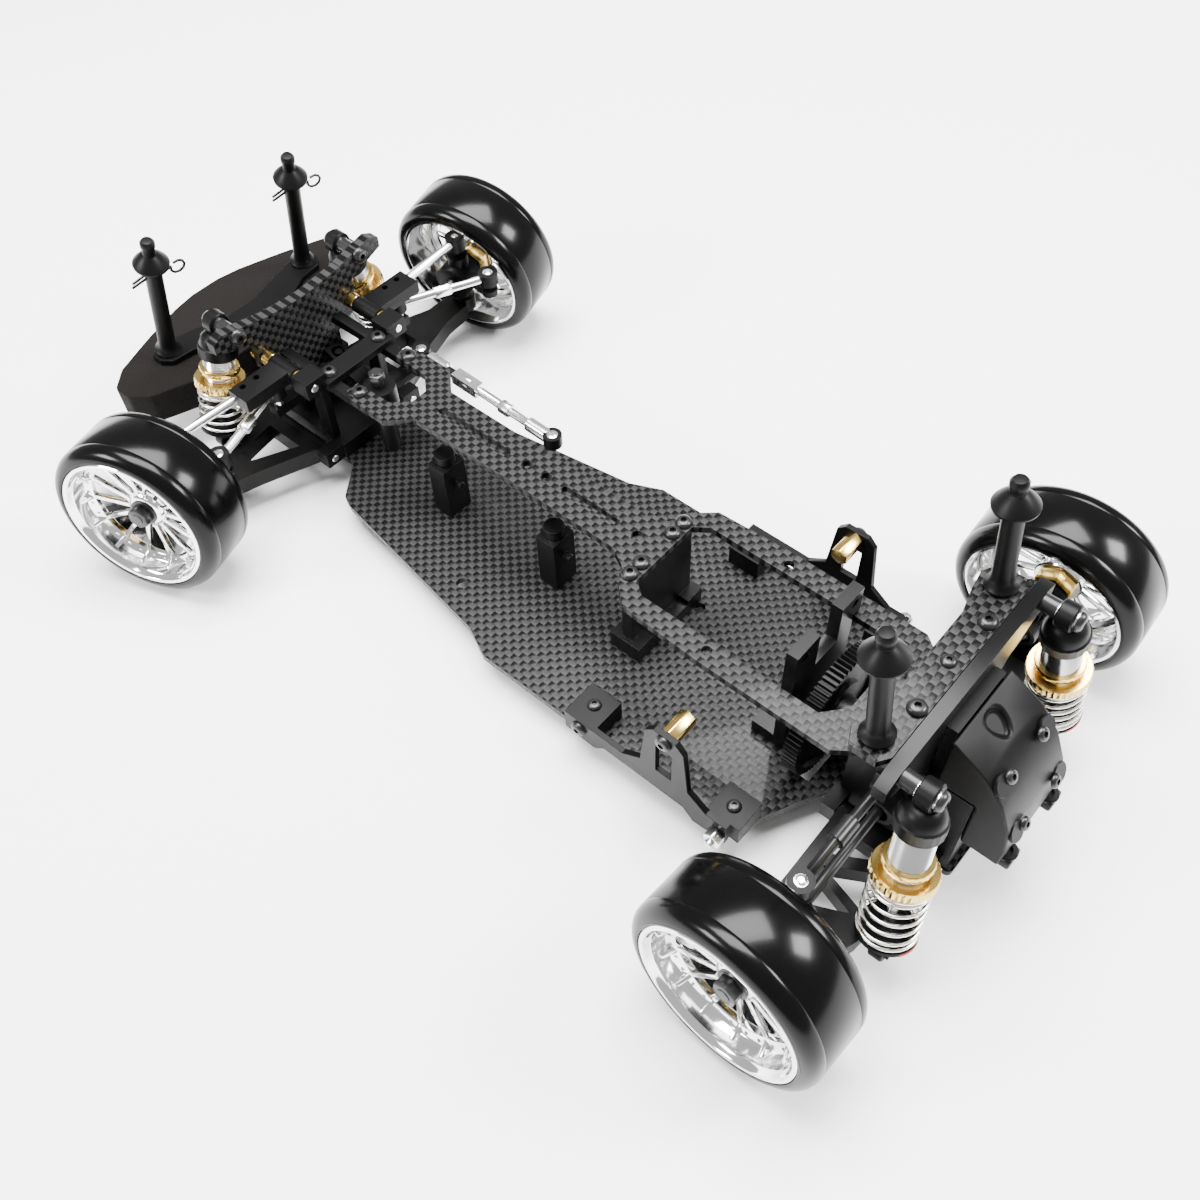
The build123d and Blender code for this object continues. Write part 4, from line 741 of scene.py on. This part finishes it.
for word, side, letter in (("left", 1, "l"), ("right", -1, "r")):
    upper = eased_copy(f"front_upper_arm_{letter}", f"upper_arm_{letter}", f"{word}_upper_arm",
                       black_plastic, 0.35)
    second_finish(upper, silver, lambda point: 41.2 < abs(point.y) < 64.5)
    upper_ball = (front_x / MM - 3.7, side * 69.8, 50.4)
    ball_faces(f"upper_ball_face_{letter}", f"{word}_upper_arm", [(upper_ball, (0, 0, 1))])
    inner = Vector(joints[f"{word}_tie_rod_swing"]["pos_m"]) / MM
    low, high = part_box(f"tie_rod_{letter}")
    outer = Vector((low.x / MM + 3.8, (high.y / MM - 3.8) if side > 0 else (low.y / MM + 3.8), inner.z))
    tie = eased_copy(f"tie_rod_{letter}", f"tie_rod_{letter}_link", f"{word}_tie_rod",
                     black_plastic, 0.3)
    second_finish(tie, silver, between(inner, outer, 0.3, 0.78))
    grip = hexagon(4.2, -3.2, 3.2, 0.3)
    bmesh.ops.transform(grip, matrix=looking((inner + outer) / 2 * MM, outer - inner), verts=grip.verts)
    put(f"tie_rod_{letter}_grip", grip, f"{word}_tie_rod", silver)
    ball_faces(f"tie_ball_face_{letter}", f"{word}_tie_rod", [(outer + Vector((0, 0, 2.5)), (0, 0, 1))])
    near = Vector(joints[f"{word}_upper_link"]["pos_m"]) / MM
    far = Vector((near.x, side * 59.0, 43.0))
    link = eased_copy(f"rear_upper_link_{letter}", f"rear_link_{letter}", f"{word}_upper_link",
                      black_plastic, 0.3)
    second_finish(link, dark_steel, between(near, far, 0.22, 0.8))
    ball_faces(f"rear_link_ball_face_{letter}", f"{word}_upper_link", [(far + Vector((0, 0, 2.5)), (0, 0, 1))])
    for node in (f"drive_shaft_{letter}", f"tie_ball_{letter}", f"front_pivot_ball_{letter}"):
        frame["nodes"][node].data.materials.clear()
        frame["nodes"][node].data.materials.append(dark_steel if "shaft" in node else silver)
frame["nodes"]["final_drive"].data.materials.clear()
frame["nodes"]["final_drive"].data.materials.append(dark_steel)

ball = Vector(joints["servo_link_front_ball"]["pos_m"]) / MM
tail_ball = ball + Vector((-65.8, 2.0, 0))
servo = eased_copy("servo_link", "servo_turnbuckle", "servo_link", black_plastic, 0.3)
second_finish(servo, silver, between(ball, tail_ball, 0.24, 0.84))
grips = bmesh.new()
for share in (0.36, 0.66):
    place = ball.lerp(tail_ball, share)
    include(grips, hexagon(4.4, -2.4, 2.4, 0.3), looking(place * MM, tail_ball - ball))
for share in (0.14, 0.9):
    place = ball.lerp(tail_ball, share)
    include(grips, turned([(0, -5), (1.9, -5), (2.6, -4.4), (2.6, 4.4), (1.9, 5), (0, 5)], 24),
            looking(place * MM, tail_ball - ball))
put("servo_grips", grips, "servo_link", silver)
ball_faces("servo_ball_faces", "servo_link", [(ball + Vector((0, 0, 2.3)), (0, 0, 1)),
                                              (tail_ball + Vector((0, 0, 2.3)), (0, 0, 1))])

# ---------------------------------------------------------------- spur gear
# A moulded plastic gear with fine teeth on a steel shaft, in a slot through the plate.
TEETH = 72
spur = bmesh.new()
levels = ((0, 0.0), (2.8, 0.0), (3.3, 1.3), (11.0, 1.3), (11.6, 0.1), (15.6, 0.1))
rings = []
for side, steps in ((5.0, levels[::-1]), (0.0, levels)):
    for inwards, dip in steps:
        height = side - dip if side else dip
        reach = 22.4 - inwards
        tooth = 1.4 if inwards == 0 else 0.0
        corners = [2 * math.pi * index / (TEETH * 4) for index in range(TEETH * 4)]
        rings.append([spur.verts.new(Vector(((reach - tooth * (index % 4 > 1)) * math.cos(angle),
                                             (reach - tooth * (index % 4 > 1)) * math.sin(angle), height)) * MM)
                      for index, angle in enumerate(corners)])
for first, second in zip(rings, rings[1:]):
    for index in range(TEETH * 4):
        spur.faces.new((first[index - 1], first[index], second[index], second[index - 1]))
spur.faces.new(rings[0][::-1])
spur.faces.new(rings[-1])
bmesh.ops.recalc_face_normals(spur, faces=spur.faces)
spur_joint = Vector(joints["spur_spin"]["pos_m"])
bmesh.ops.transform(spur, matrix=looking(spur_joint - Vector((2.5 * MM, 0, 0)), (1, 0, 0)), verts=spur.verts)
put("spur_teeth", spur, "spur_gear", black_plastic, ("spur_gear",), 30)
hub = turned([(0, -20.0), (2.5, -20.0), (2.5, -13.0), (6.5, -13.0), (6.5, 4.0), (5.8, 4.6), (2.5, 4.6), (2.5, 5.4),
              (0, 5.6)], 32)
bmesh.ops.transform(hub, matrix=looking(spur_joint, (1, 0, 0)), verts=hub.verts)
put("spur_hub", hub, "spur_gear", dark_steel)

# ---------------------------------------------------------------- screws, pins and nuts
# Black button head screws with hex sockets hold the plates; plain steel pins and the posts'
# bases carry the arms.


def button_head(radius, height, socket):
    """A domed screw head with a hex socket, standing on the XY plane, as a bmesh."""
    bm = bmesh.new()
    bmesh.ops.create_circle(bm, segments=6, radius=socket * MM)
    bmesh.ops.subdivide_edges(bm, edges=bm.edges[:], cuts=3)
    bmesh.ops.translate(bm, verts=bm.verts, vec=(0, 0, height * MM))
    rim = bm.edges[:]
    walls = bmesh.ops.extrude_edge_only(bm, edges=rim)
    low = [item for item in walls["geom"] if isinstance(item, bmesh.types.BMVert)]
    bmesh.ops.translate(bm, verts=low, vec=(0, 0, -height * 0.75 * MM))
    bmesh.ops.holes_fill(bm, edges=[edge for edge in bm.edges if edge.is_boundary and edge not in rim])
    include(bm, turned([(radius * 0.66, height * 0.96), (radius * 0.86, height * 0.74), (radius * 0.97, height * 0.4),
                        (radius, height * 0.15), (radius, 0)], 24))
    bmesh.ops.bridge_loops(bm, edges=[edge for edge in bm.edges if edge.is_boundary
                                      and all(vert.co.z > height * 0.9 * MM for vert in edge.verts)])
    bmesh.ops.recalc_face_normals(bm, faces=bm.faces)
    return bm


def screws(name, body, places, radius=2.8, height=1.7, socket=1.15, finish=None, stands_for=()):
    """A group of button head screws; each place is a point in millimetres and a direction."""
    bm = bmesh.new()
    for index, (place, direction) in enumerate(places):
        include(bm, button_head(radius, height, socket),
                looking(Vector(place) * MM, direction) @ Matrix.Rotation(index * 0.7, 4, "Z"))
    return put(name, bm, body, finish or dark_steel, stands_for, 45)


UP = (0, 0, 1)
fx, rx = front_x / MM, rear_x / MM
deck_places = [((fx - 38.7, y, 50), UP) for y in (-11.7, 11.7)]
deck_places += [((rx + 97.9, y, 50), UP) for y in (-13.1, -7.7, 7.7, 13.1)]
deck_places += [((rx + 12, y, 50), UP) for y in (-10, 10)]
deck_places += [((fx - 22.9, y, 50), UP) for y in (-11.6, 11.6)]
deck_places += [((rx, y, 79.5), UP) for y in (-17.2, 17.2)]
screws("plate_screws", "chassis", deck_places, stands_for=("steel_fasteners",))
small_places = [((rx + 1.4, 0, 79.5), UP)]
small_places += [((rx - 34.15, y, 45.9), (-1, 0, 0.5)) for y in (-8.2, 8.2)]
small_places += [((rx - 25.9, y, 61.9), (-1, 0, 0.75)) for y in (-8.2, 8.2)]
small_places += [((rx + x, side * 41.5, 19.0), UP) for x in (34.6, 88.9) for side in (1, -1)]
screws("small_screws", "chassis", small_places, radius=2.2, height=1.2, socket=0.95)
under_places = [((fx + x, y, 8.5), (0, 0, -1)) for x in (-15, 12) for y in (-9, 9)]
under_places += [((rx + x, y, 8.5), (0, 0, -1)) for x in (-18, 10) for y in (-10, 10)]
screws("underside_screws", "chassis", [((x, y, 8.4), d) for (x, y, z), d in under_places], radius=2.6, height=0.6)

pins = bmesh.new()
for side in (1, -1):
    hinge_pins = ((fx - 24.7, fx + 20.7, 14.0), (rx - 20.2, rx + 16.7, 14.0), (fx - 24.9, fx + 8.0, 49.5))
    for low, high, height in hinge_pins:
        include(pins, rod_between((low, side * 20, height), (high, side * 20, height), 1.48))
    include(pins, rod_between((rx + 1.6, side * 15, 42), (rx + 1.6, side * 19, 42), 1.3))
    include(pins, rod_between((rx, side * 17.2, 50), (rx, side * 17.2, 77), 2.8, 28))
    include(pins, rod_between((rx + 34.6, side * 49, 12.9), (rx + 34.6, side * 54, 12.9), 1.5))
put("pins", pins, "chassis", steel)
bolts = bmesh.new()
for side in (1, -1):
    for word_end, top in (("front", (fx + 13.3, 28.3, 64.4)), ("rear", (rx - 14.8, 34.4, 77.2))):
        x, y, z = top[0], side * top[1], top[2]
        tower = fx + 5.3 if word_end == "front" else rx - 7.1
        head = 1 if word_end == "front" else -1
        include(bolts, rod_between((tower, y, z), (x - head * 2.9, y, z), 2.7))
        include(bolts, rod_between((tower, y, z), (x + head * 3.0, y, z), 1.9))
        include(bolts, button_head(3.1, 1.9, 1.2), looking(Vector((x + head * 2.8, y, z)) * MM, (head, 0, 0)))
    include(bolts, button_head(3.2, 1.9, 1.2), looking(Vector((fx + 1.3, side * 28.3, 64.4)) * MM, (-1, 0, 0)))
    include(bolts, button_head(2.8, 1.6, 1.1), looking(Vector((rx + 88.9, side * 49, 14.9)) * MM, (0, side, 0)))
    include(bolts, button_head(2.8, 1.6, 1.1), looking(Vector((rx + 55.4, side * 49, 43)) * MM, (0, side, 0)))
include(bolts, rod_between((fx - 33.7, 0, 11), (fx - 33.7, 0, 48.4), 2.0))
include(bolts, rod_between((fx - 33.7, 0, 11), (fx - 33.7, 0, 32.6), 3.4))
include(bolts, hexagon(5.5, 45.0, 47.8), Matrix.Translation(((fx - 33.7) * MM, 0, 0)))
put("bolts", bolts, "chassis", dark_steel)
nuts = bmesh.new()
for side in (1, -1):
    include(nuts, hexagon(5.5, 0, 3.2), looking(Vector((rx + 34.6, side * 49.2, 12.9)) * MM, (0, side, 0)))
put("lock_nuts", nuts, "chassis", silver)

# ---------------------------------------------------------------- gold standoffs and spacers
# Hexagonal standoffs on the side plates' tabs and turned spacers on the upper hinge pins.
golden = bmesh.new()
for side in (1, -1):
    standoff = hexagon(5.5, 0, 9.4, 0.35)
    include(golden, standoff, looking(Vector((rx + 55.4, side * 47, 43)) * MM, (0, -side, 0)))
    for low, high in ((-16.5, -15.3), (-2.7, 1.2), (5.4, 7.0)):
        include(golden, rod_between((fx + low, side * 20, 49.5), (fx + high, side * 20, 49.5), 2.9, 28, 0.25))
put("gold_spacers", golden, "chassis", gold, ("brass_spacers",))

# ---------------------------------------------------------------- end
# The box round the shown objects, the floor left out.
bpy.context.view_layer.update()
low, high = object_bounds()
